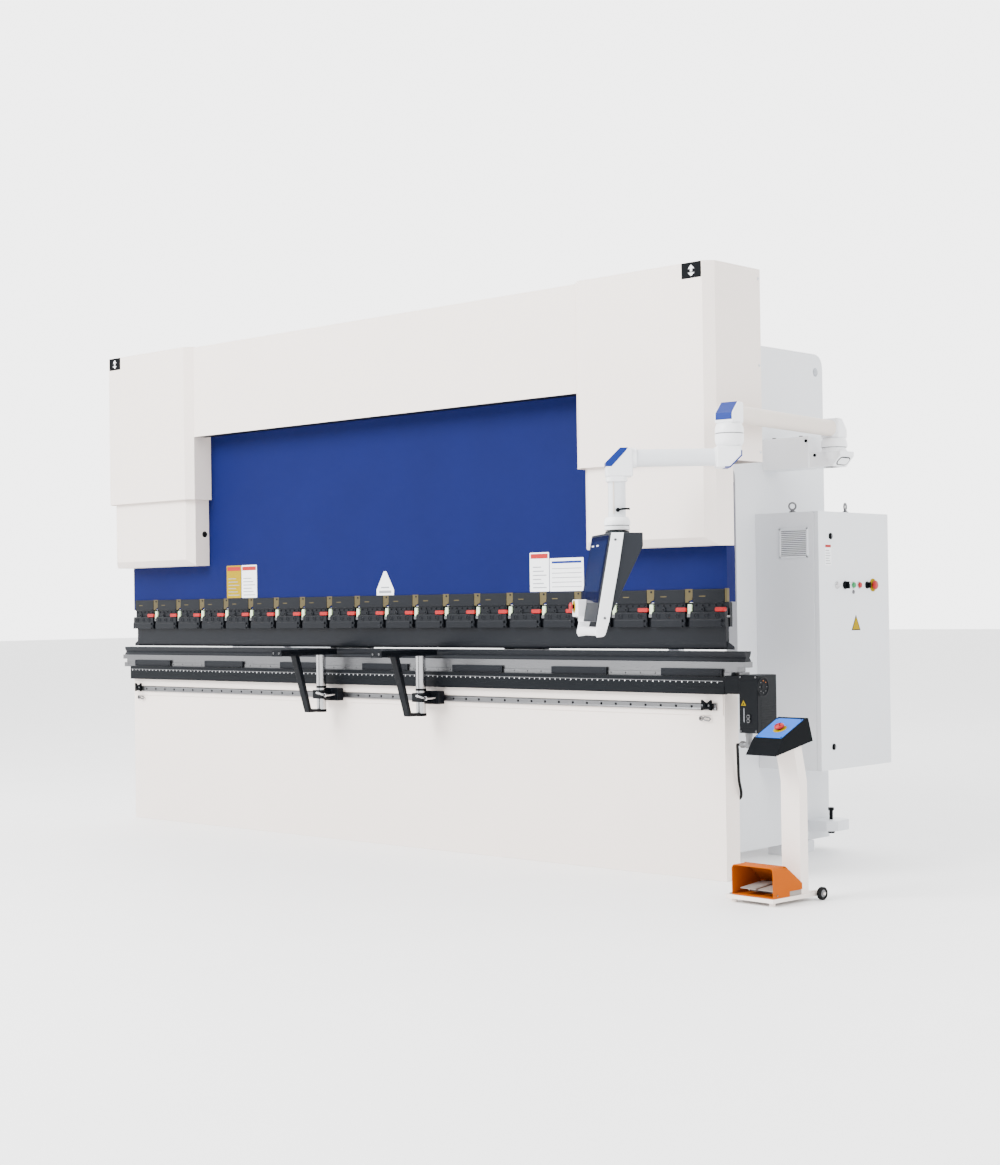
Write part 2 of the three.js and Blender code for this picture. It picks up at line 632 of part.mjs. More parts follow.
function clampLever(reach) {
  const z = 1495;
  const hub = rodY(8, TUBE / 2 + GAP, 50, reach, z, 16);
  return join(hub, block(reach - 48, reach, 43, 50, z - 5, z + 5));
}

function placed(at, turn) {
  const holder = new THREE.Group();
  holder.position.set(at.x, at.y, 0);
  holder.rotation.z = turn;
  machine.add(holder);
  return holder;
}

function heading(from, to) {
  return Math.atan2(to.y - from.y, to.x - from.x);
}

add("arm_bracket", armBracket(), WHITE);
const upperHolder = placed(ARM_ROOT, heading(ARM_ROOT, ARM_ELBOW));
add("upper_arm", upperArm(between(ARM_ROOT, ARM_ELBOW)), WHITE, upperHolder);
const lowerHolder = placed(ARM_ELBOW, heading(ARM_ELBOW, ARM_HANG));
add("lower_arm", lowerArm(between(ARM_ELBOW, ARM_HANG)), WHITE, lowerHolder);
add("pendant_clamp_lever", clampLever(between(ARM_ELBOW, ARM_HANG)), BLACK, lowerHolder);

// The pendant faces its own -Y, and its screen leans back towards the top.
const PENDANT_STOP = { x: -125, z: 1120, y: -150, stem: 8, cap: 17 };

function pendantHousing() {
  const { halfWidth, top, bottom } = PENDANT;
  const profile = outline([[-66, top], [63, top], [63, 1350], [-80, bottom], [-128, bottom]]);
  const ring = rodZ(48, top - 2, DROP.collarBottom - GAP, 0, 0, 32);
  const handRest = outline([[-100, 1080], [PENDANT_STOP.y, 1080], [PENDANT_STOP.y, 1148], [-90, 1148]]);
  const { x, y, z, stem } = PENDANT_STOP;
  const hole = rodY(stem + 0.5, y - 5, y + 22, x, z, 20);
  return cut(join(alongX(profile, -halfWidth, halfWidth), ring, alongX(handRest, -halfWidth, -60)), hole);
}

function pendantHandle() {
  const inner = PENDANT.halfWidth + GAP;
  const outer = inner + 6;
  const strap = outline([
    [-60, PENDANT.top], [-14, PENDANT.top], [-78, 1052], [-96, 1006], [-120, 1000], [-134, 1020],
  ]);
  const side = (sign) => alongX(strap, ...mirrored(sign, inner, outer));
  return join(side(-1), side(1), rodX(17, -inner - 1, inner + 1, -112, 1024, 24));
}

function pendantStop() {
  const { x, y, z, stem, cap } = PENDANT_STOP;
  const face = y - BUTTON_PLAY - 1;
  return join(rodY(stem, face - 2, y + 14, x, z, 20), rodY(cap, face - 14, face, x, z, 28));
}

const pendantHolder = placed(ARM_HANG, THREE.MathUtils.degToRad(PENDANT.turn));
add("pendant_housing", pendantHousing(), DARK_GREY, pendantHolder);
add("pendant_handle", pendantHandle(), WHITE, pendantHolder);
add("pendant_estop", pendantStop(), RED, pendantHolder);

// Foot-pedal stand: base plate and bent post, console, guard, two pedals and two wheels.
const PLATE = { halfWidth: 113.5, front: -136.5, back: 136.5, bottom: 15, top: 30 };
const POST = { left: 18, right: 105, front: 40, back: 88, bend: 450, top: 597, lean: 34 };
const WHEEL = { x: 131, y: 137, radius: 25, halfWidth: 10, axle: 5 };
const CONSOLE = { left: -25, right: 118 };
const STAND_STOP = { x: 52, y: -2, z: 649, lean: 25.3, stem: 9, cap: 20 };

function standFrame() {
  const { halfWidth, front, back, bottom, top } = PLATE;
  const { left, right, bend, lean } = POST;
  const bent = outline([
    [POST.front, top - 2], [POST.back, top - 2], [POST.back, bend], [POST.back - lean, POST.top],
    [POST.front - lean, POST.top], [POST.front, bend],
  ]);
  const foot = (x) => rodZ(12, 0, bottom + 2, x, front + 25, 16);
  const axleEnd = WHEEL.x + WHEEL.halfWidth + 3;
  const axle = rodX(WHEEL.axle, -axleEnd, axleEnd, WHEEL.y, WHEEL.radius, 16);
  const lug = (x) => block(x - 6, x + 6, back - 20, WHEEL.y + 8, bottom, 34);
  const plate = block(-halfWidth, halfWidth, front, back, bottom, top);
  return join(plate, alongX(bent, left, right), foot(-90), foot(90), axle, lug(-100), lug(100));
}

function standConsole() {
  const wedge = outline([[-115, 556], [112, 602], [85, 690], [-67, 618]]);
  const front = POST.front - POST.lean - GAP;
  const back = POST.back - POST.lean + 6;
  const socket = block(POST.left - GAP, POST.right + GAP, front, back, 500, POST.top + GAP);
  const { x, y, z, lean, stem } = STAND_STOP;
  const hole = rodZ(stem + 0.5, -30, 30, 0, 0, 20);
  hole.rotateX(THREE.MathUtils.degToRad(lean));
  hole.translate(x, y, z);
  return cut(alongX(wedge, CONSOLE.left, CONSOLE.right), socket, hole);
}

function standStop() {
  const { x, y, z, lean, stem, cap } = STAND_STOP;
  const face = BUTTON_PLAY + 1;
  const button = join(rodZ(stem, -20, face + 2, 0, 0, 20), rodZ(cap, face, face + 14, 0, 0, 28));
  button.rotateX(THREE.MathUtils.degToRad(lean));
  return button.translate(x, y, z);
}

function pedalGuard() {
  const floor = PLATE.top + GAP;
  const back = POST.front - GAP;
  const hood = outline([[-132, floor], [-132, 145], [-50, 143], [back, 74], [back, floor]]);
  const inside = outline([
    [-140, floor + 4], [-140, 141], [-52, 139], [back - 4, 72], [back - 4, floor + 4],
  ]);
  return cut(alongX(hood, -86, 113), alongX(inside, -82, 109));
}

const PEDAL = { halfWidth: 38, y: 20, z: 62, front: -126 };

function pedal(x) {
  const { halfWidth, front, y, z } = PEDAL;
  const tread = outline([[front, 54], [front, 59], [y - 6, z + 8], [y - 6, z]]);
  const pivot = rodX(8, x - halfWidth, x + halfWidth, y - 4, z + 2, 16);
  return join(alongX(tread, x - halfWidth, x + halfWidth), pivot);
}

function standWheel(side) {
  const { x, y, radius, halfWidth, axle } = WHEEL;
  const middle = side * x;
  const tyre = rodX(radius, middle - halfWidth, middle + halfWidth, y, radius, 32);
  return cut(tyre, rodX(axle + 0.4, middle - 15, middle + 15, y, radius, 16));
}

const standHolder = placed(STAND, THREE.MathUtils.degToRad(STAND.turn));
add("pedestal_stand", standFrame(), WHITE, standHolder);
add("pedestal_console", standConsole(), BLACK, standHolder);
add("pedal_guard", pedalGuard(), ORANGE, standHolder);
add("pedal_left", pedal(-14), PEDAL_GREY, standHolder);
add("pedal_right", pedal(70), PEDAL_GREY, standHolder);
add("pedestal_estop", standStop(), RED, standHolder);
for (const [label, side] of SIDES) {
  add(`wheel_${label}`, standWheel(side), RUBBER, standHolder);
}

export default machine;
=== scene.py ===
"""Looks of a four-metre press brake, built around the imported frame. Pieces are drawn in millimetres."""
import json
import math

import bmesh
import bpy
from mathutils import Matrix, Vector


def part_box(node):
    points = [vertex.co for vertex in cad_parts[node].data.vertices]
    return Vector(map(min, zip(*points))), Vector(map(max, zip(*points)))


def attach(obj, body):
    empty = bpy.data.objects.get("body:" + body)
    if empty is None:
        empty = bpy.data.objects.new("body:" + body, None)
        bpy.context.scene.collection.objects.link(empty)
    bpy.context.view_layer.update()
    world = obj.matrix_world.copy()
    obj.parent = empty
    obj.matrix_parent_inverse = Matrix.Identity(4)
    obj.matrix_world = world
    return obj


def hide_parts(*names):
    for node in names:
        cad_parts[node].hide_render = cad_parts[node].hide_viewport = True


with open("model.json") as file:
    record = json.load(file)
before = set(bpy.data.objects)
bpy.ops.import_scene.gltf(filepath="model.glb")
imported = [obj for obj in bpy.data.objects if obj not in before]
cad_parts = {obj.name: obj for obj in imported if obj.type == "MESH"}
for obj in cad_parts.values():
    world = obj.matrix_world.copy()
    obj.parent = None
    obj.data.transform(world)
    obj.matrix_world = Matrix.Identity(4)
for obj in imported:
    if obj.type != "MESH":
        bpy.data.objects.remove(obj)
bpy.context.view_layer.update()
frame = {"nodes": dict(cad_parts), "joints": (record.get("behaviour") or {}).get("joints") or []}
JOINTS = {joint["name"]: joint for joint in frame["joints"]}
MM = 0.001
SMOOTH_ANGLE = math.radians(50)  # edges sharper than this stay sharp in shading
FLAT_ANGLE = math.radians(0.5)  # CAD faces that meet at less than this are one face
BEVEL_ANGLE = math.radians(30)  # CAD edges sharper than this are softened
WELD_GAP = 0.00002
SOFTEN_ANGLE = 0.5  # edges of a drawn piece sharper than this many radians are softened
RIGHT, FRONT, UP = (1, 0, 0), (0, -1, 0), (0, 0, 1)


def add_camera():
    eye = Vector((6.479457, -6.221738, 1.124260))
    yaw, pitch, roll = (math.radians(turn) for turn in (42.733, 0.722, -0.770))
    forward = Vector((-math.sin(yaw) * math.cos(pitch), math.cos(yaw) * math.cos(pitch), math.sin(pitch)))
    level = Vector((math.cos(yaw), math.sin(yaw), 0))
    above = level.cross(forward)
    right = math.cos(roll) * level + math.sin(roll) * above
    up = math.cos(roll) * above - math.sin(roll) * level
    camera = bpy.data.objects.new("camera", bpy.data.cameras.new("camera"))
    camera.data.sensor_width = 36
    camera.data.lens = 57.99
    camera.data.shift_x = -0.00086
    camera.data.shift_y = 0.0004
    camera.data.clip_end = 200
    axes = Matrix((right, up, -forward)).transposed().to_4x4()
    camera.matrix_world = Matrix.Translation(eye) @ axes
    bpy.context.scene.collection.objects.link(camera)
    bpy.context.scene.camera = camera


add_camera()


# Materials: a broad change of tint, fine grain, and roughness that varies with the grain.
def shade(colour, amount):
    return tuple(min(1.0, part * amount) for part in colour) + (1.0,)


def add_node(tree, kind, **settings):
    """A shader node with its inputs set. An underscore in a setting's name stands for a space."""
    made = tree.nodes.new("ShaderNode" + kind)
    for name, value in settings.items():
        made.inputs[name.replace("_", " ")].default_value = value
    return made


def material(name, colour, rough, metal=0.0, tint=0.04, grain=700, relief=0.05, stretch=(1, 1, 1),
             shine=0.5):
    look = bpy.data.materials.new(name)
    look.use_nodes = True
    look.diffuse_color = (*colour, 1)
    tree = look.node_tree
    shader = tree.nodes["Principled BSDF"]
    shader.inputs["Metallic"].default_value = metal
    shader.inputs["Specular IOR Level"].default_value = shine
    place = add_node(tree, "TexCoord")
    spread = add_node(tree, "Mapping", Scale=stretch)
    cloud = add_node(tree, "TexNoise", Scale=2.5, Detail=6)
    fine = add_node(tree, "TexNoise", Scale=grain, Detail=3)
    shades = add_node(tree, "ValToRGB")
    low, high = shades.color_ramp.elements
    low.position, high.position = 0.3, 0.7
    low.color, high.color = shade(colour, 1 - tint), shade(colour, 1 + tint)
    polish = add_node(tree, "MapRange", To_Min=max(0.05, rough - 0.08), To_Max=min(1.0, rough + 0.08))
    bump = add_node(tree, "Bump", Strength=relief, Distance=0.0005)
    for start, end in (
        (place.outputs["Object"], spread.inputs["Vector"]),
        (spread.outputs["Vector"], cloud.inputs["Vector"]),
        (spread.outputs["Vector"], fine.inputs["Vector"]),
        (cloud.outputs["Fac"], shades.inputs["Fac"]),
        (shades.outputs["Color"], shader.inputs["Base Color"]),
        (fine.outputs["Fac"], polish.inputs["Value"]),
        (polish.outputs["Result"], shader.inputs["Roughness"]),
        (fine.outputs["Fac"], bump.inputs["Height"]),
        (bump.outputs["Normal"], shader.inputs["Normal"]),
    ):
        tree.links.new(start, end)
    return look


ALONG = (0.03, 1, 1)  # brush marks that run along the machine
FINISHES = {  # colour, roughness and the rest
    "white_paint": ((0.80, 0.72, 0.665), 0.42, dict(tint=0.012, relief=0.12)),
    "grey_paint": ((0.66, 0.68, 0.71), 0.42, dict(tint=0.012, relief=0.12)),
    "blue_paint": ((0.0022, 0.0052, 0.058), 0.6, dict(tint=0.06, relief=0.12, shine=0.08)),
    "black_paint": ((0.0018, 0.0028, 0.0044), 0.45, dict(tint=0.15, shine=0.1)),
    "orange_paint": ((0.36, 0.072, 0.0), 0.6, dict(tint=0.05, relief=0.1, shine=0.04)),
    "tool_steel": ((0.0040, 0.0052, 0.0078), 0.45,
                   dict(metal=0.3, tint=0.3, grain=400, stretch=ALONG, shine=0.2)),
    "bare_steel": ((0.15, 0.152, 0.158), 0.3, dict(metal=0.95, tint=0.16, grain=900, stretch=ALONG)),
    "chrome": ((0.50, 0.50, 0.51), 0.16, dict(metal=1.0, tint=0.05, grain=500)),
    "dark_plastic": ((0.014, 0.016, 0.020), 0.5, dict(tint=0.08, relief=0.15, shine=0.12)),
    "red_plastic": ((0.30, 0.0015, 0.003), 0.35, dict(tint=0.04, shine=0.3)),
    "black_plastic": ((0.0016, 0.0024, 0.0034), 0.6, dict(tint=0.12, relief=0.15, shine=0.05)),
    "rubber": ((0.004, 0.0043, 0.0047), 0.75, dict(tint=0.15, relief=0.3, shine=0.15)),
    "pedal_grey": ((0.24, 0.21, 0.19), 0.5, dict(metal=0.2, tint=0.1, grain=500, shine=0.3)),
    "arm_grey": ((0.66, 0.59, 0.53), 0.5, dict(tint=0.02, relief=0.1, shine=0.3)),
    "arm_white": ((0.80, 0.81, 0.83), 0.36, dict(tint=0.01, relief=0.08)),
    "blue_plastic": ((0.0045, 0.019, 0.15), 0.35, dict(tint=0.04, shine=0.2)),
    "sky_film": ((0.006, 0.10, 0.48), 0.35, dict(tint=0.03, shine=0.3)),
    "screen": ((0.0018, 0.0030, 0.012), 0.16, dict(tint=0.2, grain=200, relief=0.01, shine=0.2)),
    "display": ((0.0035, 0.008, 0.034), 0.2, dict(tint=0.1, relief=0.01, shine=0.2)),
    "yellow_film": ((0.29, 0.195, 0.0), 0.6, dict(tint=0.03, shine=0.05)),
    "white_film": ((0.80, 0.81, 0.83), 0.4, dict(tint=0.01)),
    "red_film": ((0.30, 0.0015, 0.003), 0.4, dict(tint=0.03, shine=0.3)),
    "grey_film": ((0.22, 0.23, 0.25), 0.45, dict(tint=0.03, shine=0.3)),
    "bronze": ((0.075, 0.058, 0.022), 0.45, dict(metal=0.6, tint=0.2, grain=500)),
    "pale_latch": ((0.58, 0.72, 0.46), 0.4, dict(tint=0.03)),
    "green_plastic": ((0.006, 0.20, 0.06), 0.35, dict(tint=0.04, shine=0.3)),
    "amber": ((0.45, 0.12, 0.006), 0.4, dict(tint=0.04, shine=0.3)),
}
LOOKS = {name: material(name, colour, rough, **more) for name, (colour, rough, more) in FINISHES.items()}


def span(node):
    """The CAD box of a node in millimetres: x0, x1, y0, y1, z0, z1."""
    low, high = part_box(node)
    return [side / MM for pair in zip(low, high) for side in pair]


def spot(joint):
    """The point a hinge turns about, in millimetres."""
    return Vector(JOINTS[joint]["pos_m"]) / MM


def facing(origin, along):
    """A frame on the floor under a point, its X along a level direction."""
    turn = Matrix.Rotation(math.atan2(along[1], along[0]), 4, "Z")
    return Matrix.Translation((origin[0], origin[1], 0)) @ turn


def slope_frame(place, across, rise):
    """A frame on a sloping face: X across it, Y up it and Z out of it."""
    across = Vector(across)
    rise = Vector(rise).normalized()
    axes = Matrix((across, rise, across.cross(rise))).transposed().to_4x4()
    return Matrix.Translation(place) @ axes


def sloping(bottom, top):
    """A frame on a face that slopes in the YZ plane, from a bottom to a top edge given as (y, z)."""
    return slope_frame((0, *bottom), RIGHT, (0, top[0] - bottom[0], top[1] - bottom[1]))


def rounded(x0, x1, z0, z1, radius, steps=4):
    """The outline of a rectangle with round corners."""
    points = []
    corners = ((x1, z0, -90), (x1, z1, 0), (x0, z1, 90), (x0, z0, 180))
    for x, z, first in corners:
        middle_x = x - radius if x == x1 else x + radius
        middle_z = z - radius if z == z1 else z + radius
        for k in range(steps + 1):
            turn = math.radians(first + 90 * k / steps)
            points.append((middle_x + radius * math.cos(turn), middle_z + radius * math.sin(turn)))
    return points


def arch(x0, x1, z0, z1, radius):
    """The outline of a rectangle with round upper corners."""
    return [(x1, z0), *rounded(x0, x1, z0, z1, radius, 5)[6:18], (x0, z0)]


def circle(x, z, radius, sides=24):
    turns = [2 * math.pi * k / sides for k in range(sides)]
    return [(x + radius * math.cos(turn), z + radius * math.sin(turn)) for turn in turns]


class Shape:
    """A mesh built up from closed pieces. Each piece has a material number and its own softened edges."""

    def __init__(self):
        self.mesh = bmesh.new()

    def take(self, part, look, soft, at):
        bmesh.ops.recalc_face_normals(part, faces=part.faces)
        if soft:
            sharp = [edge for edge in part.edges if edge.calc_face_angle(0) > SOFTEN_ANGLE]
            bmesh.ops.bevel(
                part, geom=sharp, offset=soft, segments=2, profile=0.5, affect="EDGES", clamp_overlap=True,
            )
        if at:
            bmesh.ops.transform(part, matrix=at, verts=part.verts)
        for face in part.faces:
            face.material_index = look
            face.smooth = True
        copied = bpy.data.meshes.new("part")
        part.to_mesh(copied)
        part.free()
        self.mesh.from_mesh(copied)
        bpy.data.meshes.remove(copied)

    def box(self, x0, x1, y0, y1, z0, z1, look=0, soft=0.8, at=None):
        part = bmesh.new()
        middle = Matrix.Translation(((x0 + x1) / 2, (y0 + y1) / 2, (z0 + z1) / 2))
        size = Matrix.Diagonal((abs(x1 - x0), abs(y1 - y0), abs(z1 - z0), 1))
        bmesh.ops.create_cube(part, size=1, matrix=middle @ size)
        self.take(part, look, soft, at)

    def prism(self, points, axis, a, b, look=0, soft=0.8, at=None):
        """An outline drawn in the plane across an axis, and drawn out along it from a to b."""
        places = {
            "x": lambda p, h: (h, p[0], p[1]),
            "y": lambda p, h: (p[0], h, p[1]),
            "z": lambda p, h: (p[0], p[1], h),
        }
        part = bmesh.new()
        first, last = ([part.verts.new(places[axis](p, h)) for p in points] for h in (a, b))
        part.faces.new(first)
        part.faces.new(last)
        for k in range(len(points)):
            part.faces.new((first[k - 1], first[k], last[k], last[k - 1]))
        self.take(part, look, soft, at)

    def rod(self, start, end, radius, look=0, sides=24, soft=0.6, tip=None, at=None):
        a, b = Vector(start), Vector(end)
        turn = (b - a).to_track_quat("Z", "Y").to_matrix().to_4x4()
        place = Matrix.Translation((a + b) / 2) @ turn
        part = bmesh.new()
        bmesh.ops.create_cone(
            part, cap_ends=True, segments=sides, radius1=radius, radius2=tip or radius,
            depth=(b - a).length, matrix=place,
        )
        self.take(part, look, soft, at)

    def turned(self, base, axis, rings, look=0, sides=32, at=None):
        """A lathed piece: rings of (height, radius) up an axis, closed by flat ends."""
        turn = Vector(axis).to_track_quat("Z", "Y").to_matrix().to_4x4()
        place = Matrix.Translation(base) @ turn
        part = bmesh.new()
        loops = []
        for height, radius in rings:
            points = circle(0, 0, radius, sides)
            loops.append([part.verts.new(place @ Vector((p, q, height))) for p, q in points])
        part.faces.new(loops[0])
        part.faces.new(loops[-1])
        for low, high in zip(loops, loops[1:]):
            for k in range(sides):
                part.faces.new((low[k - 1], low[k], high[k], high[k - 1]))
        self.take(part, look, 0, at)

    def tube(self, path, radius, look=0, sides=12, closed=False, at=None):
        """A round bar bent along a path."""
        points = [Vector(p) for p in path]
        count = len(points)
        part = bmesh.new()
        loops = []
        side = None
        for k, point in enumerate(points):
            before = points[k - 1] if k or closed else point
            after = points[(k + 1) % count] if k < count - 1 or closed else point
            ahead = (after - before).normalized()
            if side is None:
                side = ahead.orthogonal().normalized()
            side = (side - ahead * side.dot(ahead)).normalized()
            up = ahead.cross(side)
            turns = [2 * math.pi * n / sides for n in range(sides)]
            ring = [point + radius * (math.cos(t) * side + math.sin(t) * up) for t in turns]
            loops.append([part.verts.new(p) for p in ring])
        pairs = list(zip(loops, loops[1:]))
        if closed:
            pairs.append((loops[-1], loops[0]))
        else:
            part.faces.new(loops[0])
            part.faces.new(loops[-1])
        for low, high in pairs:
            for n in range(sides):
                part.faces.new((low[n - 1], low[n], high[n], high[n - 1]))
        self.take(part, look, 0, at)

    def ring(self, centre, axis, radius, thickness, look=0, at=None, steps=24):
        """A round bar bent into a full circle."""
        turn = Vector(axis).to_track_quat("Z", "Y").to_matrix().to_4x4()
        place = Matrix.Translation(centre) @ turn
        path = [place @ Vector((p, q, 0)) for p, q in circle(0, 0, radius, steps)]
        self.tube(path, thickness, look, 10, True, at)

    def screw(self, centre, axis, radius, look=0, at=None):
        """A socket-head screw whose head stands on a surface."""
        deep = radius * 0.5
        rings = [(-0.5, radius), (deep, radius), (deep * 1.3, radius * 0.85), (deep * 1.3, radius * 0.5),
                 (0.2, radius * 0.45)]
        self.turned(centre, axis, rings, look, 16, at)

    def drill(self, holes):
        """Takes another shape out of this one."""
        pair = []
        for shape in (self, holes):
            data = bpy.data.meshes.new("work")
            shape.mesh.to_mesh(data)
            shape.mesh.free()
            obj = bpy.data.objects.new("work", data)
            bpy.context.scene.collection.objects.link(obj)
            pair.append(obj)
        change = pair[0].modifiers.new("cut", "BOOLEAN")
        change.operation = "DIFFERENCE"
        change.solver = "EXACT"
        change.object = pair[1]
        bpy.context.view_layer.update()
        done = bpy.data.meshes.new_from_object(pair[0].evaluated_get(bpy.context.evaluated_depsgraph_get()))
        self.mesh = bmesh.new()
        self.mesh.from_mesh(done)
        for obj in pair:
            bpy.data.meshes.remove(obj.data)
        bpy.data.meshes.remove(done)

    def make(self, name, body, looks, stands_for=(), at=None):
        if at:
            bmesh.ops.transform(self.mesh, matrix=at, verts=self.mesh.verts)
        bmesh.ops.scale(self.mesh, vec=(MM, MM, MM), verts=self.mesh.verts)
        data = bpy.data.meshes.new(name)
        self.mesh.to_mesh(data)
        self.mesh.free()
        for look in looks:
            data.materials.append(LOOKS[look])
        data.set_sharp_from_angle(angle=SMOOTH_ANGLE)
        obj = bpy.data.objects.new(name, data)
        bpy.context.scene.collection.objects.link(obj)
        weighted = obj.modifiers.new("even", "WEIGHTED_NORMAL")
        weighted.keep_sharp = True
        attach(obj, body)
        if stands_for:
            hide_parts(*stands_for)
        return obj


def dress(node, look, bevel):
    """Shows a CAD node as it is, with softened edges and a finish."""
    obj = frame["nodes"][node]
    data = obj.data
    data.materials.clear()
    data.materials.append(LOOKS[look])
    if "custom_normal" in data.attributes:
        data.attributes.remove(data.attributes["custom_normal"])
    data.shade_smooth()
    weld = obj.modifiers.new("weld", "WELD")
    weld.merge_threshold = WELD_GAP
    flat = obj.modifiers.new("flat", "DECIMATE")
    flat.decimate_type = "DISSOLVE"
    flat.angle_limit = FLAT_ANGLE
    soft = obj.modifiers.new("soft", "BEVEL")
    soft.width = bevel * MM
    soft.segments = 2
    soft.limit_method = "ANGLE"
    soft.angle_limit = BEVEL_ANGLE
    soft.harden_normals = True


# Nodes shown as they are: for each finish, the width of the softened edges of each node in millimetres.
DRESSED = {
    "grey_paint": {
        "side_frame_left": 1.5, "side_frame_right": 1.5, "oil_tank": 3.0, "rear_crossbeam": 1.5,
        "cabinet_shell": 1.2, "cabinet_door": 1.2, "gauge_carriage": 1.5,
    },
    "white_paint": {
        "cylinder_cover_left": 1.4, "cylinder_cover_right": 1.4, "lower_cover_left": 1.4,
        "lower_cover_right": 1.4, "bed_plate": 1.5, "rail_carrier": 0.8, "centre_fascia": 1.4,
        "pedestal_stand": 1.5,
    },
    "bare_steel": {
        "backgauge_rail_left": 1.0, "backgauge_rail_right": 1.0, "die_rail": 0.8, "gauge_beam": 1.5,
    },
    "tool_steel": {"gauge_finger_left": 0.8, "gauge_finger_right": 0.8, "v_die": 0.5, "punch": 0.4},
    "chrome": {"piston_rod_left": 1.0, "piston_rod_right": 1.0},
    "dark_plastic": {"hydraulic_cylinder_left": 2.0, "hydraulic_cylinder_right": 2.0},
    "blue_paint": {"ram_plate": 1.5},
    "black_paint": {"front_beam": 1.2, "beam_end_block": 1.2},
    "rubber": {"drive_cable": 0.2},
    "arm_white": {"arm_bracket": 2.0},
    "black_plastic": {"pedestal_console": 2.0},
}
for finish, edges in DRESSED.items():
    for node_name, edge in edges.items():
        dress(node_name, finish, edge)

# Tooling.
CLAMP_PITCH = 200
CLAMP_COUNT = 20
CLAMP_SHIFT = 5
STEEL, BRONZE, RED, PALE, BRIGHT = range(5)


def clamp_centres():
    return [(k - (CLAMP_COUNT - 1) / 2) * CLAMP_PITCH + CLAMP_SHIFT for k in range(CLAMP_COUNT)]


def clamp_module(shape, x, low, face, head, top, bottom):
    """One clamp: head before the ram, neck with its bolts and lever, and the lower plate."""
    mid = head - 5
    shape.box(x - 81, x + 81, head, face + 4, 1127, top, STEEL, 2.5)
    shape.box(x - 46, x - 14, head - 0.6, head + 1, 1154, 1158, BRONZE, 0.2)
    shape.box(x - 76, x + 76, head - 1.4, head + 1, 1129, 1136, STEEL, 0.6)
    shape.box(x - 80, x + 80, face - 1, face + 20, 1086, 1130, STEEL, 1)
    profile = [(mid, 1060), (mid, 1089), (mid + 4, 1094), (face + 12, 1094), (face + 12, 1060)]
    shape.prism(profile, "x", x - 90, x + 84, STEEL, 1)
    plate = [(low, bottom), (low, 1058), (mid, 1064), (face + 12, 1064), (face + 12, bottom)]
    shape.prism(plate, "x", x - 90, x + 70, STEEL, 1)
    shape.box(x + 68, x + 85, low + 6, face + 12, bottom, 1064, STEEL, 1)
    shape.box(x + 69, x + 84, low + 1, low + 7, 1036, 1050, STEEL, 1)
    for k in range(5):
        shape.screw((x - 66 + 33 * k, face - 1, 1119), FRONT, 4.6, STEEL)
    for k in range(3):
        cup = [(-1, 12.5), (1.2, 12.5), (1.8, 11.5), (1.8, 9), (-0.4, 8), (-0.4, 5), (1.2, 4.6)]
        shape.turned((x - 58 + 52 * k, mid, 1077), FRONT, cup, STEEL, 24)
    shape.prism(rounded(x - 52, x + 30, 1096, 1108, 5), "y", face - 5, face + 1, STEEL, 1)
    shape.turned((x - 28, face - 4, 1102), FRONT, [(-1, 10), (4, 10), (5, 9), (5, 5), (2, 4.6)], STEEL, 24)
    shape.prism(rounded(x + 38, x + 90, 1093, 1110, 4.5), "y", face - 14, face - 3, RED, 1.5)
    shape.box(x + 30, x + 44, face - 10, face - 2, 1097, 1106, STEEL, 1)


def gap_fittings(shape, x, face, head):
    """What shows in the gap between two clamps: a bronze plate above and a latch below."""
    plate = [(x - 20, 1186), (x + 20, 1186), (x + 20, 1160), (x + 16, 1142), (x - 2, 1136), (x - 2, 1130),
             (x - 20, 1130)]
    shape.prism(plate, "y", head + 2, face + 6, BRONZE, 1)
    shape.rod((x + 4, head + 3, 1176), (x + 4, head, 1176), 4.5, STEEL, 12)
    latch = [(x - 6, 1124), (x + 12, 1124), (x + 12, 1096), (x + 6, 1092), (x + 6, 1084), (x - 8, 1084),
             (x - 8, 1104)]
    shape.prism(latch, "y", face - 3, face + 6, PALE, 1.2)
    shape.prism([(x - 10, 1084), (x + 10, 1084), (x + 5, 1070), (x - 10, 1070)], "y", face - 6, face + 6,
                BRIGHT, 1)
    shape.box(x - 21, x + 21, face + 5, face + 20, 1032, 1130, STEEL, 0.6)


def tool_clamps():
    x0, x1, low, back, bottom, top = span("tool_clamps")
    face = span("ram_plate")[2]
    head = face - 6
    shape = Shape()
    shape.box(x0 + 3, x1 - 3, 12, back, bottom, 1130.5, STEEL, 0.8)
    centres = clamp_centres()
    for x in centres:
        clamp_module(shape, x, low, face, head, top, bottom)
    for x in centres[:-1]:
        gap_fittings(shape, x + CLAMP_PITCH / 2, face, head)
    end = centres[-1] + 90
    shape.box(end - 8, end + 2, head + 2, face + 14, 1131, 1187, 1, 1)
    shape.box(end - 10, end + 9, face - 2, face + 10, 1108, 1132, 0, 1)
    shape.rod((end + 4, face - 4, 1073), (end + 14, face - 4, 1073), 5, 4, 16)
    shape.make("clamp_row", "ram", ["tool_steel", "bronze", "red_plastic", "pale_latch", "bare_steel"],
               ["tool_clamps"])


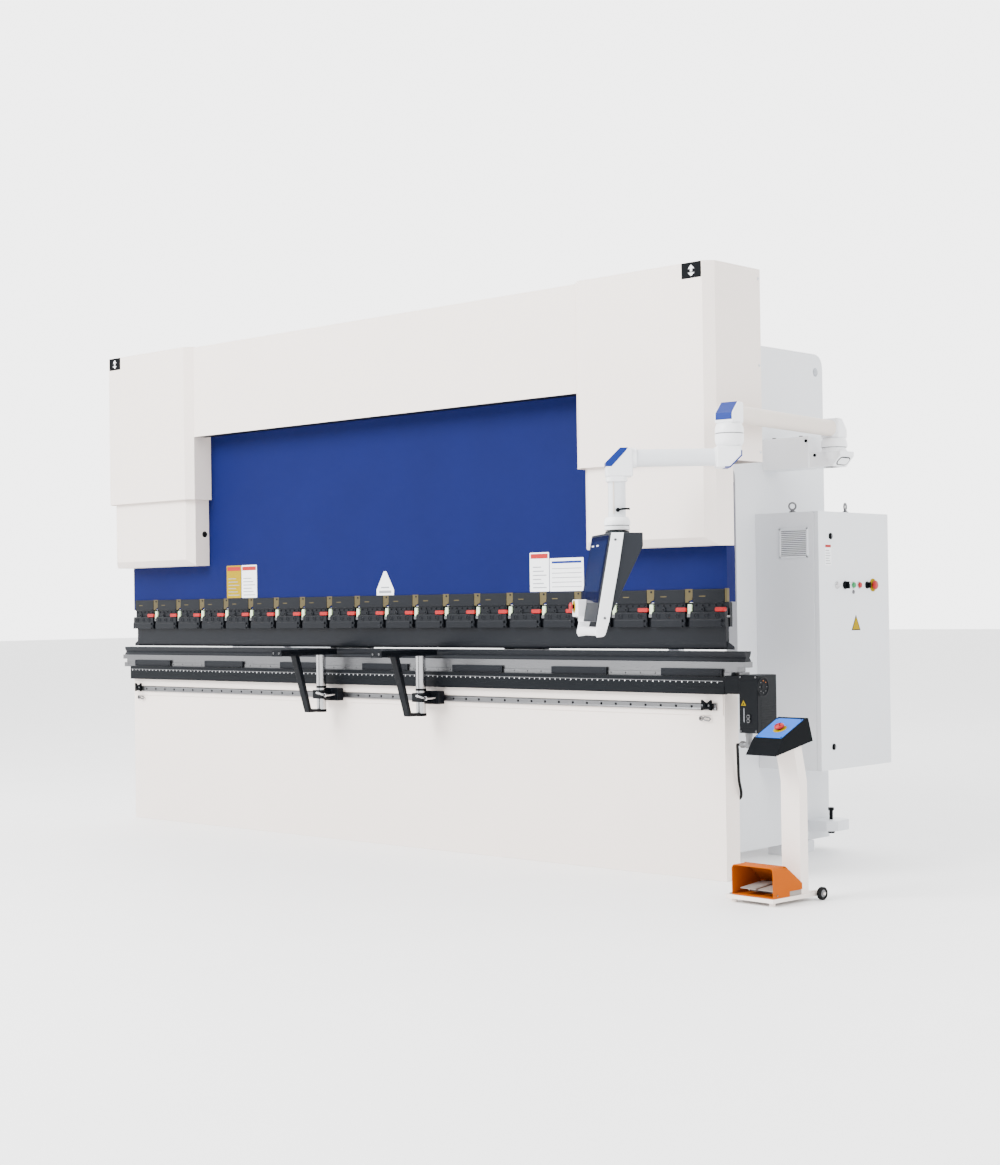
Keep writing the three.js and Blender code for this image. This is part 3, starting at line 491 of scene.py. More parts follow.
def crowning_rail():
    x0, x1, front, back, bottom, top = span("crowning_rail")
    rail = -33
    shape = Shape()
    shape.box(x0, x1, rail, back, bottom, 847, 0, 0.8)
    holes = Shape()
    for k in range(52):
        x = x0 + 40 + k * (x1 - x0 - 80) / 51
        holes.rod((x, rail - 2, 838), (x, rail + 5, 838), 3.2, 0, 12, 0)
    shape.drill(holes)
    for k in range(-3, 4):
        x = 605 * k + 8
        shape.box(x - 156, x + 156, front, rail + 1, bottom + 5.5, top, 1, 1.2)
        for side in (-1, 1):
            for z in (837, 853):
                shape.turned((x + side * 142, front, z), FRONT,
                             [(-1, 4.4), (0.5, 4.4), (0.8, 3.8), (0.8, 2.6), (-0.8, 2.4)], 1, 14)
    shape.make("crowning_row", "machine", ["bare_steel", "tool_steel"], ["crowning_rail"])


def beam_fittings():
    """A steel scale let into the beam, with its marks, and a lip along the lower edge."""
    x0, x1, front, _, bottom, top = span("front_beam")
    shape = Shape()
    shape.box(x0 + 4, x1 - 8, front - 0.5, front + 0.4, top - 18, top - 15.5, 0, 0.2)
    for k in range(132):
        x = x0 + 20 + 30 * k
        half = 2.2 if k % 5 == 0 else 1.2
        shape.box(x - half, x + half, front - 0.6, front + 0.2, top - 24, top - 18.5, 1, 0)
    shape.box(x0 + 2, x1 - 2, front - 1.2, front + 0.5, bottom + 3, bottom + 30, 2, 0.6)
    shape.make("beam_fittings", "machine", ["bare_steel", "white_film", "black_paint"])


def linear_rail():
    x0, x1, front, back, bottom, top = span("linear_rail")
    shape = Shape()
    profile = [(back, bottom), (back, top), (front + 4, top), (front, top - 4), (front + 1.6, top - 9),
               (front + 1.6, bottom + 9), (front, bottom + 4), (front + 4, bottom)]
    shape.prism(profile, "x", x0, x1, 0, 0.4)
    holes = Shape()
    middle = (bottom + top) / 2
    places = [x for x in range(1348 - 80 * 41, 1960, 80) if x0 + 12 < x < x1 - 12]
    for x in places:
        holes.rod((x, front - 2, middle), (x, front + 9, middle), 6.2, 0, 16, 0)
    shape.drill(holes)
    for x in places:
        shape.turned((x, front + 8.5, middle), FRONT,
                     [(-0.5, 6), (2, 5.8), (2.4, 5.2), (2.4, 3), (0.4, 2.8)], 1, 12)
    shape.make("rail_bar", "machine", ["bare_steel", "black_paint"], ["linear_rail"])


def rail_stops():
    """The two clamped end stops and the safety hooks that hang under the rail."""
    front = span("linear_rail")[2]
    shape = Shape()
    for x in (-1916, 1910):
        half = 24
        bow = [(x - half, 735), (x - 6, 722), (x + 6, 722), (x + half, 735), (x + half, 690), (x + 6, 702),
               (x - 6, 702), (x - half, 690)]
        shape.prism(bow, "y", front - 14, front - 0.3, 0, 1.2)
        for side in (-1, 1):
            shape.screw((x + side * 16, front - 14, 712), FRONT, 4.5, 1)
        shape.rod((x, front - 24, 712), (x, front - 13, 712), 6.5, 0, 16)
    for x in (-1930, 1872):
        shape.screw((x - 8, -36, 657), FRONT, 6, 1)
        shape.ring((x, -42, 657), (0, 1, 0), 9, 2.2, 1)
        loop = [(x + 8, -42, 657), (x + 18, -43, 664), (x + 42, -43, 662), (x + 48, -43, 655),
                (x + 40, -43, 648),
                (x + 18, -43, 651)]
        shape.tube(loop, 3, 1, 10, True)
    shape.make("rail_stops", "machine", ["black_plastic", "bare_steel"])


tool_clamps()
crowning_rail()
beam_fittings()
linear_rail()
rail_stops()


# Plates and marks on the front. None carries words.
def picture_plates():
    face = span("ram_plate")[2]
    shape = Shape()
    white, yellow, red, grey, blue = range(5)

    def plate(x0, x1, z0, z1, look):
        shape.prism(rounded(x0, x1, z0, z1, 3, 2), "y", face - 0.8, face + 0.2, look, 0.2)

    def bar(x0, x1, z0, z1, look):
        shape.box(x0, x1, face - 1.3, face - 0.5, z0, z1, look, 0)

    def lines(x0, x1, low, step, thick, count, shorter):
        for k in range(count):
            bar(x0, x1 - shorter * (k % 3), low + step * k, low + thick + step * k, grey)

    plate(-1190, -1074, 1187, 1355, yellow)
    plate(-1070, -949, 1187, 1355, white)
    for x0, x1 in ((-1184, -1080), (-1064, -955)):
        bar(x0, x1, 1328, 1348, red)
        lines(x0 + 8, x1 - 8, 1200, 17, 4, 6, 14)
    plate(926, 1039, 1188, 1361, white)
    bar(932, 1033, 1334, 1355, red)
    lines(944, 1024, 1204, 18, 4, 6, 16)
    plate(1043, 1238, 1188, 1333, white)
    bar(1056, 1226, 1310, 1320, blue)
    lines(1056, 1226, 1206, 20, 3, 5, 0)
    house = [(-61, 1186), (57, 1186), (57, 1213), (6, 1300), (-10, 1300), (-61, 1213)]
    shape.prism(house, "y", face - 0.8, face + 0.2, white, 0.2)
    bar(-44, 40, 1196, 1208, grey)
    bar(-30, 26, 1220, 1226, grey)
    shape.make("picture_plates", "ram",
               ["white_film", "yellow_film", "red_film", "grey_film", "blue_plastic"])


def axis_tags():
    """Black tags on the cylinder covers: an arrow up and down for the axis each one moves."""
    face = span("cylinder_cover_left")[2]
    shape = Shape()
    for x in (-1945, 1948):
        shape.prism(rounded(x - 49, x + 49, 2434, 2498, 3, 2), "y", face - 1, face + 0.2, 0, 0.3)
        up = [(x, 2488), (x - 16, 2472), (x - 5, 2472), (x - 5, 2460), (x + 5, 2460), (x + 5, 2472),
              (x + 16, 2472)]
        down = [(x, 2442), (x + 16, 2456), (x - 16, 2456)]
        shape.prism(up, "y", face - 1.6, face - 0.8, 1, 0)
        shape.prism(down, "y", face - 1.6, face - 0.8, 1, 0)
    shape.make("axis_tags", "machine", ["black_plastic", "white_film"])


def cover_fittings():
    """Grommets and screws of the sheet-metal covers, and a black plate inside the centre fascia's open
    bottom: painted shade of the open underside, with the dark wires there.
    """
    moving = Shape()
    x0 = span("lower_cover_left")[1]
    grommet = [(0, 16), (2.5, 16), (3.5, 14), (3.5, 9), (1.0, 8)]
    for side in (1, -1):
        moving.turned((side * (x0 - 0.5), -51, 1524), (side, 0, 0), grommet, 0, 28)
    moving.make("cover_grommets", "ram", ["rubber"])
    fixed = Shape()
    screw_y = 165
    _, right, _, _, bottom, top = span("cylinder_cover_right")
    for side in (-1, 1):
        outer = side * right
        for z in (bottom + 40, (bottom + top) / 2, top - 40):
            fixed.screw((outer, screw_y, z), (side, 0, 0), 6, 0)
    fascia = span("centre_fascia")
    # Painted shade: a black plate just inside the fascia's open bottom edge stands for the shade in its
    # open underside and for the dark wires hanging there.
    fixed.box(fascia[0] + 4, fascia[1] - 4, fascia[2] + 8, fascia[3], fascia[4] + 0.5, fascia[4] + 3.5, 1,
              0.4)
    fixed.make("cover_fittings", "machine", ["grey_paint", "black_paint"])


picture_plates()
axis_tags()
cover_fittings()


# Sheet supports.
def support(side):
    x0, x1, front, back, bottom, top = span(f"support_post_{side}")
    x = (x0 + x1) / 2
    post_y = -120
    arm = Shape()
    arm.rod((x, post_y, bottom), (x, post_y, 903), 23, 1, 32, 1)
    arm.rod((x, post_y, bottom - 0.2), (x, post_y, bottom + 14), 25, 0, 32, 1.2)
    arm.rod((x, post_y, 742), (x, post_y, 752), 25, 0, 32, 1)
    half = (x1 - x0) / 2
    bar = Shape()
    bar.box(x0, x1, front + 6, back, 903, top, 0, 1.2)
    slots = Shape()
    for place in (-14, 14):
        slots.box(x + place - 5, x + place + 5, front - 5, back + 5, top - 8, top + 5, 0, 0)
    for place in (-half - 5, half - 3):
        slots.box(x + place, x + place + 8, front - 5, back + 5, 913, 920, 0, 0)
    bar.drill(slots)
    bar.box(x0 - 1, x1 + 1, front, front + 7, 901, top + 1, 0, 1.2)
    for place in (-20, 20):
        bar.screw((x + place, front, 916), FRONT, 5, 2)
    strut = [(-300, 906), (-274, 906), (-200, 643), (post_y - 22, 641), (post_y - 22, 627), (-214, 627)]
    bar.prism(strut, "x", x - 18, x + 18, 0, 1.5)
    bar.box(x - 24, x + 24, -304, -268, 898, 905, 0, 1)
    for y in (-295, -277):
        bar.rod((x - 26, y, 901), (x - 20, y, 901), 4, 2, 12)
    bar.make(f"support_bar_{side}", f"support_post_{side}", ["black_paint", "chrome", "bare_steel"],
             [f"support_post_{side}"])
    arm.make(f"support_column_{side}", f"support_post_{side}", ["black_plastic", "chrome"])

    c0, c1, c_front, _, c_bottom, c_top = span(f"support_carriage_{side}")
    block = Shape()
    block.box(x - 32, x + 40, c_front, -91, 690, 732, 0, 2.5)
    block.box(c0, c1, -92, -53, c_bottom, c_top, 0, 2)
    bore = Shape()
    bore.rod((x, post_y, 660), (x, post_y, 760), 25.4, 0, 32, 0)
    bore.box(c0 - 10, c1 + 10, -55, 0, 688, 724, 0, 0)
    block.drill(bore)
    for k in range(4):
        rib = x + 42 + 10 * k
        block.box(rib, rib + 6, -96, -90, c_bottom + 4, c_top - 4, 0, 1)
    for place in (c0 + 12, c1 - 12):
        for z in (c_top - 9, c_bottom + 9):
            block.screw((place, -92, z), FRONT, 4, 0)
    block.rod((x - 32, post_y, 711), (x - 40, post_y, 711), 7, 0, 20)
    block.make(f"support_block_{side}", f"support_carriage_{side}", ["black_paint", "bare_steel"],
               [f"support_carriage_{side}"])

    pivot = spot(f"support_{side}_lever")
    lever = Shape()
    end = span(f"support_lever_{side}")[2]
    lever.rod((pivot.x, -92.5, pivot.z), (pivot.x, end + 8, pivot.z), 6, 0, 24, 1)
    lever.turned((pivot.x, end + 12, pivot.z), FRONT, [(0, 8), (2, 10), (9, 10), (11, 8)], 0, 28)
    reach = [(pivot.x, end + 5, pivot.z), (pivot.x - 24, end + 5, pivot.z + 3),
             (pivot.x - 44, end + 6, pivot.z + 8)]
    lever.tube(reach, 4.6, 0, 14)
    lever.rod((pivot.x - 40, end + 5.8, pivot.z + 7), (pivot.x - 61, end + 6.4, pivot.z + 10), 6, 0, 16, 2)
    lever.make(f"support_handle_{side}", f"support_lever_{side}", ["chrome"], [f"support_lever_{side}"])


for side_name in ("left", "right"):
    support(side_name)


# Drive unit of the crowning, at the right end of the table.
def drive_unit():
    right, front, back, _, top = span("drive_unit")[1:]
    left = span("beam_end_block")[1] + 0.3
    face = right - 4
    body_bottom = 606
    shape = Shape()
    black, steel, yellow, amber, grey = range(5)
    shape.box(left, face, front + 1.5, back, body_bottom, top, black, 3)
    shape.box(left + 1, face - 1, front, front + 3, body_bottom + 22, top - 22, black, 2)
    shape.box(left - 0.2, face + 1, front + 0.6, front + 4, body_bottom + 1, body_bottom + 16, black, 1)
    y, z = -24, 791
    shape.turned((face - 1, y, z), RIGHT, [(0, 41), (3, 41), (4, 39.5), (4, 36), (1, 34), (1, 10), (3, 9)],
                 black, 40)
    for k, (lamp_y, lamp_z) in enumerate(circle(y, z, 24, 8)):
        lens = amber if k in (1, 2) else steel
        shape.rod((face + 1, lamp_y, lamp_z), (face + 3.4, lamp_y, lamp_z), 2.2, lens, 10)
    for k in range(12):
        low = body_bottom + 18 + 10 * k
        shape.box(face - 1, face + 1.2, -38, back - 8, low, low + 5, black, 0.8)
    shape.prism([(left + 10, 716), (left + 34, 716), (left + 22, 738)], "y", front - 0.6, front + 0.4,
                yellow, 0.2)
    shape.prism([(left + 17, 719.5), (left + 27, 719.5), (left + 22, 729)], "y", front - 1, front - 0.4,
                black, 0)
    shape.box(left + 22, left + 26, front - 1, front + 1, 650, 706, grey, 0.5)
    plug_x = left + 48
    for low in (673, 656):
        shape.rod((plug_x, front - 7, low), (plug_x, front + 1, low), 8, steel, 20, 1)
        shape.rod((plug_x, front - 9, low), (plug_x, front - 6, low), 5, black, 16, 0.5)
    for corner_z in (top - 8, body_bottom + 8):
        for corner_x in (left + 8, face - 8):
            shape.screw((corner_x, front, corner_z), FRONT, 4, steel)
    gland_x, gland_y, gland_z, nut_x, gland_end = 2100, -30, 558, 2078, 2060
    shape.rod((gland_x, gland_y, body_bottom + 1), (gland_x, gland_y, 590), 15, steel, 6, 1)
    shape.rod((gland_x, gland_y, 592), (gland_x, gland_y, gland_z + 6), 12.5, steel, 24, 1)
    shape.turned((gland_x, gland_y, gland_z), UP, [(-15, 8), (-13, 13), (0, 15), (13, 13), (15, 8)], steel,
                 24)
    shape.rod((gland_x - 8, gland_y, gland_z), (nut_x, gland_y, gland_z), 12, steel, 24, 1)
    shape.rod((nut_x, gland_y, gland_z), (gland_end, gland_y, gland_z), 14, steel, 6, 1)
    shape.make("drive_casing", "machine",
               ["black_paint", "bare_steel", "yellow_film", "amber", "grey_film"], ["drive_unit"])
    knob = Shape()
    knob.turned((2040, -47, 834), UP, [(0, 9.5), (3, 9.5), (4, 8), (9, 8), (12, 6.5), (12.6, 4)], 0, 24)
    knob.make("end_block_knob", "machine", ["black_plastic"])


drive_unit()


# Electrical cabinet. The cap of an emergency stop has its rings as (height, radius).
STOP_CAP = [(1.8, 12), (2.4, 19.5), (6.5, 20), (10, 19), (13, 15)]


def cabinet_fittings():
    _, right, front, back, bottom, top = span("cabinet_shell")
    shape = Shape()
    paint, black, steel = range(3)
    vent_left, vent_right, vent_low, vent_high = 1842, 1987, 1318, 1446
    for x0, x1, z0, z1 in (
        (vent_left, vent_right, vent_high - 8, vent_high), (vent_left, vent_right, vent_low, vent_low + 8),
        (vent_left, vent_left + 8, vent_low, vent_high), (vent_right - 8, vent_right, vent_low, vent_high),
    ):
        shape.box(x0, x1, front - 5, front + 0.5, z0, z1, paint, 1)
    shape.box(vent_left + 6, vent_right - 6, front - 0.8, front + 0.3, vent_low + 6, vent_high - 6, black,
              0)
    for k in range(14):
        z = vent_low + 11 + 8.1 * k
        slat = [(front - 0.5, z + 5.5), (front - 4.4, z), (front - 3.4, z - 0.8), (front - 0.2, z + 3.5)]
        shape.prism(slat, "x", vent_left + 6, vent_right - 6, paint, 0)
    for x, y, axis in ((1897, 605, (-0.68, 0.73, 0)), (2002, 859, (1, 0.25, 0))):
        shape.turned((x, y, top - 0.3), UP, [(0, 15), (4, 15), (6, 12), (9, 8), (12, 7)], steel, 24)
        shape.ring((x, y, top + 27), axis, 15, 4, steel)
    seal_in, seal_out, seal_wide = right - 0.4, right + 4.6, 4
    for z in (top - 9, bottom + 5):
        shape.box(seal_in, seal_out, front + 6, back - 6, z, z + seal_wide, paint, 0)
    for y in (front + 3, back - 9):
        shape.box(seal_in, seal_out, y, y + seal_wide, bottom + 6, top - 6, paint, 0)
    for z in (bottom + 120, (bottom + top) / 2, top - 120):
        shape.rod((right + 14, back + 4, z - 28), (right + 14, back + 4, z + 28), 6, steel, 16, 1)
    shape.make("cabinet_fittings", "machine", ["grey_paint", "black_plastic", "bare_steel"])


def door_fittings():
    right = span("cabinet_door")[1]
    shape = Shape()
    black, steel, white, red, yellow, green, grey, silver = range(8)
    skin, z, stop_y, dial_y, switch_y = right - 0.3, 1198, 1015, 788, 966
    for y, lock_z in ((678, 1409), (680, 502)):
        shape.turned((skin, y, lock_z), RIGHT, [(0, 14), (3, 14), (4, 13), (4, 9), (6, 8.5), (6, 3)], black,
                     28)
        shape.box(right + 5, right + 8, y - 2, y + 2, lock_z - 7, lock_z + 7, steel, 0.6)
    shape.prism(rounded(632, 683, 1283, 1375, 2, 2), "x", right - 0.2, right + 0.6, white, 0.1)
    shape.box(right + 0.3, right + 1, 635, 680, 1360, 1372, red, 0)
    for k in range(6):
        shape.box(right + 0.3, right + 0.9, 638, 676 - 5 * (k % 3), 1290 + 11 * k, 1293 + 11 * k, grey, 0)
    rings = [(0, 14), (3, 14), (4, 12.5), (9, 11.5), (10, 10), (10.4, 4)]
    lamps = ((725, silver), (854, green), (903, red))
    for y, look in lamps:
        shape.turned((skin, y, z), RIGHT, rings, look, 28)
    for y, _ in lamps:
        shape.ring((right + 1.5, y, z), RIGHT, 15, 2, silver)
    shape.turned((skin, switch_y, z), RIGHT, [(0, 16), (4, 16), (5, 14), (9, 13)], black, 28)
    shape.box(right + 8, right + 20, switch_y - 4, switch_y + 4, z - 13, z + 13, black, 1.5)
    shape.turned((skin, 854, 1168), RIGHT, [(0, 9), (3, 9), (4, 8), (4, 5), (6, 4.5)], steel, 20)
    shape.turned((skin, stop_y, z), RIGHT, [(0, 29), (1.5, 29), (2, 28), (2, 12), (1, 11.5)], yellow, 36)
    shape.prism([(836, 1000), (908, 1000), (872, 1068)], "x", right - 0.2, right + 0.5, black, 0.1)
    shape.prism([(843, 1004), (901, 1004), (872, 1059)], "x", right + 0.3, right + 0.9, yellow, 0.1)
    shape.make("door_fittings", "cabinet_door",
               ["black_plastic", "bare_steel", "white_film", "red_film", "yellow_film", "green_plastic",
                "grey_film", "chrome"])
    stop = Shape()
    face = span("door_estop")[1] - 14
    stop.rod((right - 8, stop_y, z), (face + 3, stop_y, z), 9, 1, 24, 0.5)
    stop.turned((face, stop_y, z), RIGHT, [*STOP_CAP, (14, 8)], 0, 36)
    stop.make("door_stop_button", "door_estop", ["red_plastic", "black_plastic"], ["door_estop"])
    dial = Shape()
    dial.turned((right + 0.3, dial_y, z), RIGHT, [(0, 18), (3, 18), (5, 16), (10, 15), (11, 13)], 0, 32)
    dial.rod((right - 8, dial_y, z), (right + 2, dial_y, z), 7, 0, 20, 0.5)
    dial.box(right + 9, right + 24, dial_y - 5, dial_y + 5, z - 16, z + 16, 0, 2)
    dial.box(right + 23, right + 24.3, dial_y - 1, dial_y + 1, z + 4, z + 15, 1, 0.2)
    dial.make("main_switch_dial", "main_switch", ["black_plastic", "white_film"], ["main_switch"])


cabinet_fittings()
door_fittings()

# Suspension arm.
ARM_HALF = 43
UPPER_REACH = (spot("arm_elbow") - spot("arm_shoulder")).xy.length
LOWER_REACH = (spot("pendant_swivel") - spot("arm_elbow")).xy.length
UPPER_FRAME = facing(spot("arm_shoulder"), spot("arm_elbow") - spot("arm_shoulder"))
LOWER_FRAME = facing(spot("arm_elbow"), spot("pendant_swivel") - spot("arm_elbow"))


def elbow_outline(x, towards, low, high, on_top, reach=ARM_HALF, cut=46):
    """A knuckle with one corner cut off, on the side away from its tube."""
    near, far = x + towards * reach, x - towards * ARM_HALF
    clipped = far + towards * cut
    if on_top:
        return [(far, low), (near, low), (near, high), (clipped, high), (far, high - cut)]
    return [(clipped, low), (near, low), (near, high), (far, high), (far, low + cut)]


def cap_outline(x, towards, high, depth, cut=46, thick=1.6):
    """A thin cap over the cut corner and the top of the end face."""
    far = x - towards * ARM_HALF
    clipped = far + towards * cut
    out = -towards * thick
    return [(clipped, high + thick * 0.6), (far + out, high - cut), (far + out, high - cut - depth),
            (far - out, high - cut - depth), (far - out, high - cut + 1), (clipped + out, high - thick)]


def bracket_fittings():
    _, x1, front, back, bottom, top = span("arm_bracket")
    shape = Shape()
    for x, y, z in ((1942, front, 1825), (1982, front + 6, 1760)):
        shape.screw((x, y, z), FRONT, 7, 0)
    for x in (1760, 1900):
        for y in (front + 25, back - 25):
            shape.screw((x, y, top), UP, 9, 0)
    slope = slope_frame((x1 - 40, (front + back) / 2, bottom), (0, 1, 0), (40, 0, 44))
    oval = rounded(-44, 44, 8, 52, 21, 6)
    shape.prism(oval, "z", -0.5, 1.6, 0, 0.3, slope)
    shape.prism(rounded(-39, 39, 13, 47, 16, 6), "z", 1, 2.6, 1, 0.5, slope)
    shape.box(x1 - 100, x1 - 60, front + 30, back - 30, bottom - 1.5, bottom + 0.5, 0, 0.5)
    root = spot("arm_shoulder")
    shape.turned((root.x, root.y, 1772), UP, [(0, 56), (5, 56), (7, 52), (16, 51)], 1, 40)
    shape.make("bracket_fittings", "machine", ["black_plastic", "arm_white"])


def upper_arm():
    low, high = span("upper_arm")[4:]
    shape = Shape()
    white, grey, blue, dark = range(4)
    for x in (0, UPPER_REACH):
        bell = [(0.6, 52), (1.4, 55), (3, 57), (12, 57), (26, 55), (37, 50), (44, 44)]
        shape.turned((x, 0, low), UP, bell, white, 48)
        shape.turned((x, 0, low), UP, [(-0.1, 53.5), (0.9, 53.5)], dark, 48)
    shape.prism(elbow_outline(0, 1, 1830, high, True), "y", -ARM_HALF, ARM_HALF, white, 7)
    shape.prism(elbow_outline(UPPER_REACH, -1, 1830, high, True), "y", -ARM_HALF, ARM_HALF, white, 7)
    shape.prism(cap_outline(UPPER_REACH, -1, high, 26), "y", -36, 36, blue, 0.8)
    shape.prism(rounded(-34, 34, 1838, 1906, 29, 8), "x", 38, UPPER_REACH - 38, grey, 0.5)
    for x in (40, UPPER_REACH - 40):
        shape.prism(rounded(-37, 37, 1835, 1909, 31, 8), "x", x - 7, x + 7, white, 1)
    slope = Matrix.Translation((-20, 0, high - 23)) @ Matrix.Rotation(math.radians(-45), 4, "Y")
    shape.turned((0, 0, -1), UP, [(0, 20), (2.6, 20), (3.4, 18)], grey, 32, slope)
    shape.box(-44, -42.5, -18, 18, 1838, 1846, dark, 0.4)
    shape.make("upper_tube", "upper_arm", ["arm_white", "arm_grey", "blue_plastic", "black_plastic"],
               ["upper_arm"],
               UPPER_FRAME)


def lower_arm():
    bottom, top = span("lower_arm")[4:]
    reach = LOWER_REACH
    low, high = 1656, 1737
    shape = Shape()
    white, grey, blue, dark, arm = range(5)
    cup = [(1738, 38), (1741, 46), (1748, 53), (1757, 56.5), (1766, 57), (top - 2, 57), (top - 0.6, 54)]
    shape.turned((0, 0, 0), UP, cup, white, 48)
    shape.prism(elbow_outline(0, 1, low, 1742, False, 56), "y", -ARM_HALF, ARM_HALF, white, 7)
    heel = [(-44.2, low + 66), (-44.2, low + 45), (3, low - 1.2), (24, low - 1.2), (24, low + 3),
            (5, low + 3),
            (-40, low + 48), (-40, low + 66)]
    shape.prism(heel, "y", -44, 44, blue, 0.6)
    far = reach + ARM_HALF
    shape.prism(elbow_outline(reach, -1, 1625, high, True, 62, 56), "y", -ARM_HALF, ARM_HALF, white, 7)
    band = [(far + 1.2, high - 72), (far + 1.2, high - 55), (far - 55, high + 1.2), (far - 86, high + 1.2),
            (far - 76, high - 13), (far - 23, high - 70), (far - 23, high - 72)]
    shape.prism(band, "y", -44, 44, blue, 0.8)
    shape.prism(rounded(-34, 34, 1665, 1733, 29, 8), "x", 38, reach - 38, arm, 0.5)
    shape.prism(rounded(-39, 39, 1660, 1738, 31, 8), "x", reach - 78, reach - 58, white, 2)
    shape.prism(rounded(-37, 37, 1662, 1736, 31, 8), "x", 50, 62, white, 1)
    shape.prism(rounded(reach - 34, reach + 34, -34, 34, 24, 7), "z", 1466, 1640, arm, 0.5)
    shape.prism(rounded(reach - 41, reach + 41, -41, 41, 20, 6), "z", 1606, 1627, white, 3)
    shape.box(reach + 12, reach + 18, 32, 34.8, 1480, 1606, grey, 0.4)
    shape.box(reach + 33, reach + 34.8, -4, 4, 1480, 1606, grey, 0.4)
    shape.turned((reach, 0, 0), UP,
                 [(bottom, 46), (bottom + 2, 50), (1431, 51), (1433, 47), (1435, 47), (1437, 52),
                  (1450, 52), (1460, 49),
                  (1468, 43)], white, 40)
    shape.turned((reach, 0, 1432), UP, [(0, 46.5), (1, 47), (3, 47), (4, 46.5)], dark, 40)
    shape.make("lower_tube", "lower_arm",
               ["arm_white", "arm_grey", "blue_plastic", "black_plastic", "grey_paint"], ["lower_arm"],
               LOWER_FRAME)
    lever = Shape()
    z = spot("pendant_clamp").z
    lever.rod((reach, 34.5, z), (reach, 50, z), 8, 0, 24, 1.5)
    lever.tube([(reach, 46, z), (reach - 16, 46, z + 3), (reach - 34, 46, z + 4), (reach - 47, 46, z + 3)],
               4.2, 0, 12)
    lever.make("clamp_handle", "pendant_clamp_lever", ["black_plastic"], ["pendant_clamp_lever"],
               at=LOWER_FRAME)


bracket_fittings()
upper_arm()
lower_arm()

# Control pendant. Its own frame has X across the screen and Y away from the operator.
stop_axis = JOINTS["pendant_estop_push"]["axis"]
PENDANT_FRAME = facing(spot("pendant_swivel"), (stop_axis[1], -stop_axis[0]))


def pendant():
    top, bottom, half = 1402, 1061, 160
    shape = Shape()
    dark, screen, display, pale, white, yellow = range(6)
    profile = [(-66, top), (63, top), (63, 1350), (-80, bottom), (-128, bottom)]
    shape.prism(profile, "x", -half, half, dark, 4)
    shape.turned((0, 0, top - 2), UP, [(0, 48), (10, 48), (14.3, 44)], dark, 40)
    front = sloping((-128, bottom), (-66, top))
    shape.prism(rounded(-150, 150, 74, 337, 8, 3), "z", -1, 1.6, screen, 0.5, front)
    shape.prism(rounded(-128, 128, 118, 318, 4, 2), "z", 1, 2.4, display, 0.3, front)
    for k in range(2):
        shape.box(-112 + 80 * k, -78 + 80 * k, 298, 303, 2, 2.8, pale, 0.1, front)
    for k in range(6):
        shape.prism(rounded(-122 + 42 * k, -92 + 42 * k, 84, 100, 4, 2), "z", 1, 2.4, screen, 0.4, front)
    back = sloping((63, 1350), (-80, bottom))
    for k in range(7):
        shape.box(-70, 70, 70 + 22 * k, 78 + 22 * k, -1, 1.4, screen, 0.5, back)
    shape.box(-half + 0.5, -60, -150, -92, 1080, 1148, white, 4)
    shape.box(-half + 0.5, -60, -128, -60, bottom - 1, 1084, white, 3)
    stop_x, stop_z = -125, 1120
    shape.turned((stop_x, -149.5, stop_z), FRONT, [(0, 26), (1.4, 26), (2, 25), (2, 12)], yellow, 36)
    shape.make("pendant_box", "pendant",
               ["dark_plastic", "screen", "display", "white_film", "arm_white", "yellow_film"],
               ["pendant_housing"], PENDANT_FRAME)
    handle = Shape()
    inner = half + 0.3
    strap = [(-62, top), (-14, top), (-34, 1280), (-76, 1064), (-92, 1012), (-100, 1004), (-126, 1002),
             (-132, 1016), (-122, 1070)]
    for side in (-1, 1):
        handle.prism(strap, "x", side * inner, side * (inner + 6), 0, 1.5)
        for y, z in ((-48, 1375), (-94, 1075)):
            handle.screw((side * (inner + 6), y, z), (side, 0, 0), 5, 1)
        handle.turned((side * (inner + 4), -112, 1024), (side, 0, 0), [(0, 19), (3, 19), (5, 16), (5.6, 9)],
                      0, 32)
    grip = [(0, 16), (4, 17), (2 * inner - 4, 17), (2 * inner, 16)]
    handle.turned((-inner, -112, 1024), RIGHT, grip, 0, 32)
    handle.make("pendant_grip", "pendant", ["arm_white", "bare_steel"], ["pendant_handle"],
                PENDANT_FRAME)
    button = Shape()
    face = -157
    button.rod((stop_x, -136, stop_z), (stop_x, face - 3, stop_z), 8, 1, 20, 0.5)
    button.turned((stop_x, face, stop_z), FRONT,
                  [(1.8, 10), (2.4, 16.5), (5.5, 17), (9, 16), (12.4, 12), (13.6, 6)], 0, 36)
    button.make("pendant_stop_button", "pendant_estop", ["red_plastic", "black_plastic"], ["pendant_estop"],
                at=PENDANT_FRAME)


pendant()

# Foot-pedal stand. Its own frame has X along the wheels' axle.
axle = JOINTS["wheel_left_spin"]["axis"]
WHEEL_Y = 137
wheels_middle = (spot("wheel_left_spin") + spot("wheel_right_spin")) / 2
stand_origin = wheels_middle - WHEEL_Y * Vector((-axle[1], axle[0], 0))
STAND_FRAME = facing(stand_origin, axle)


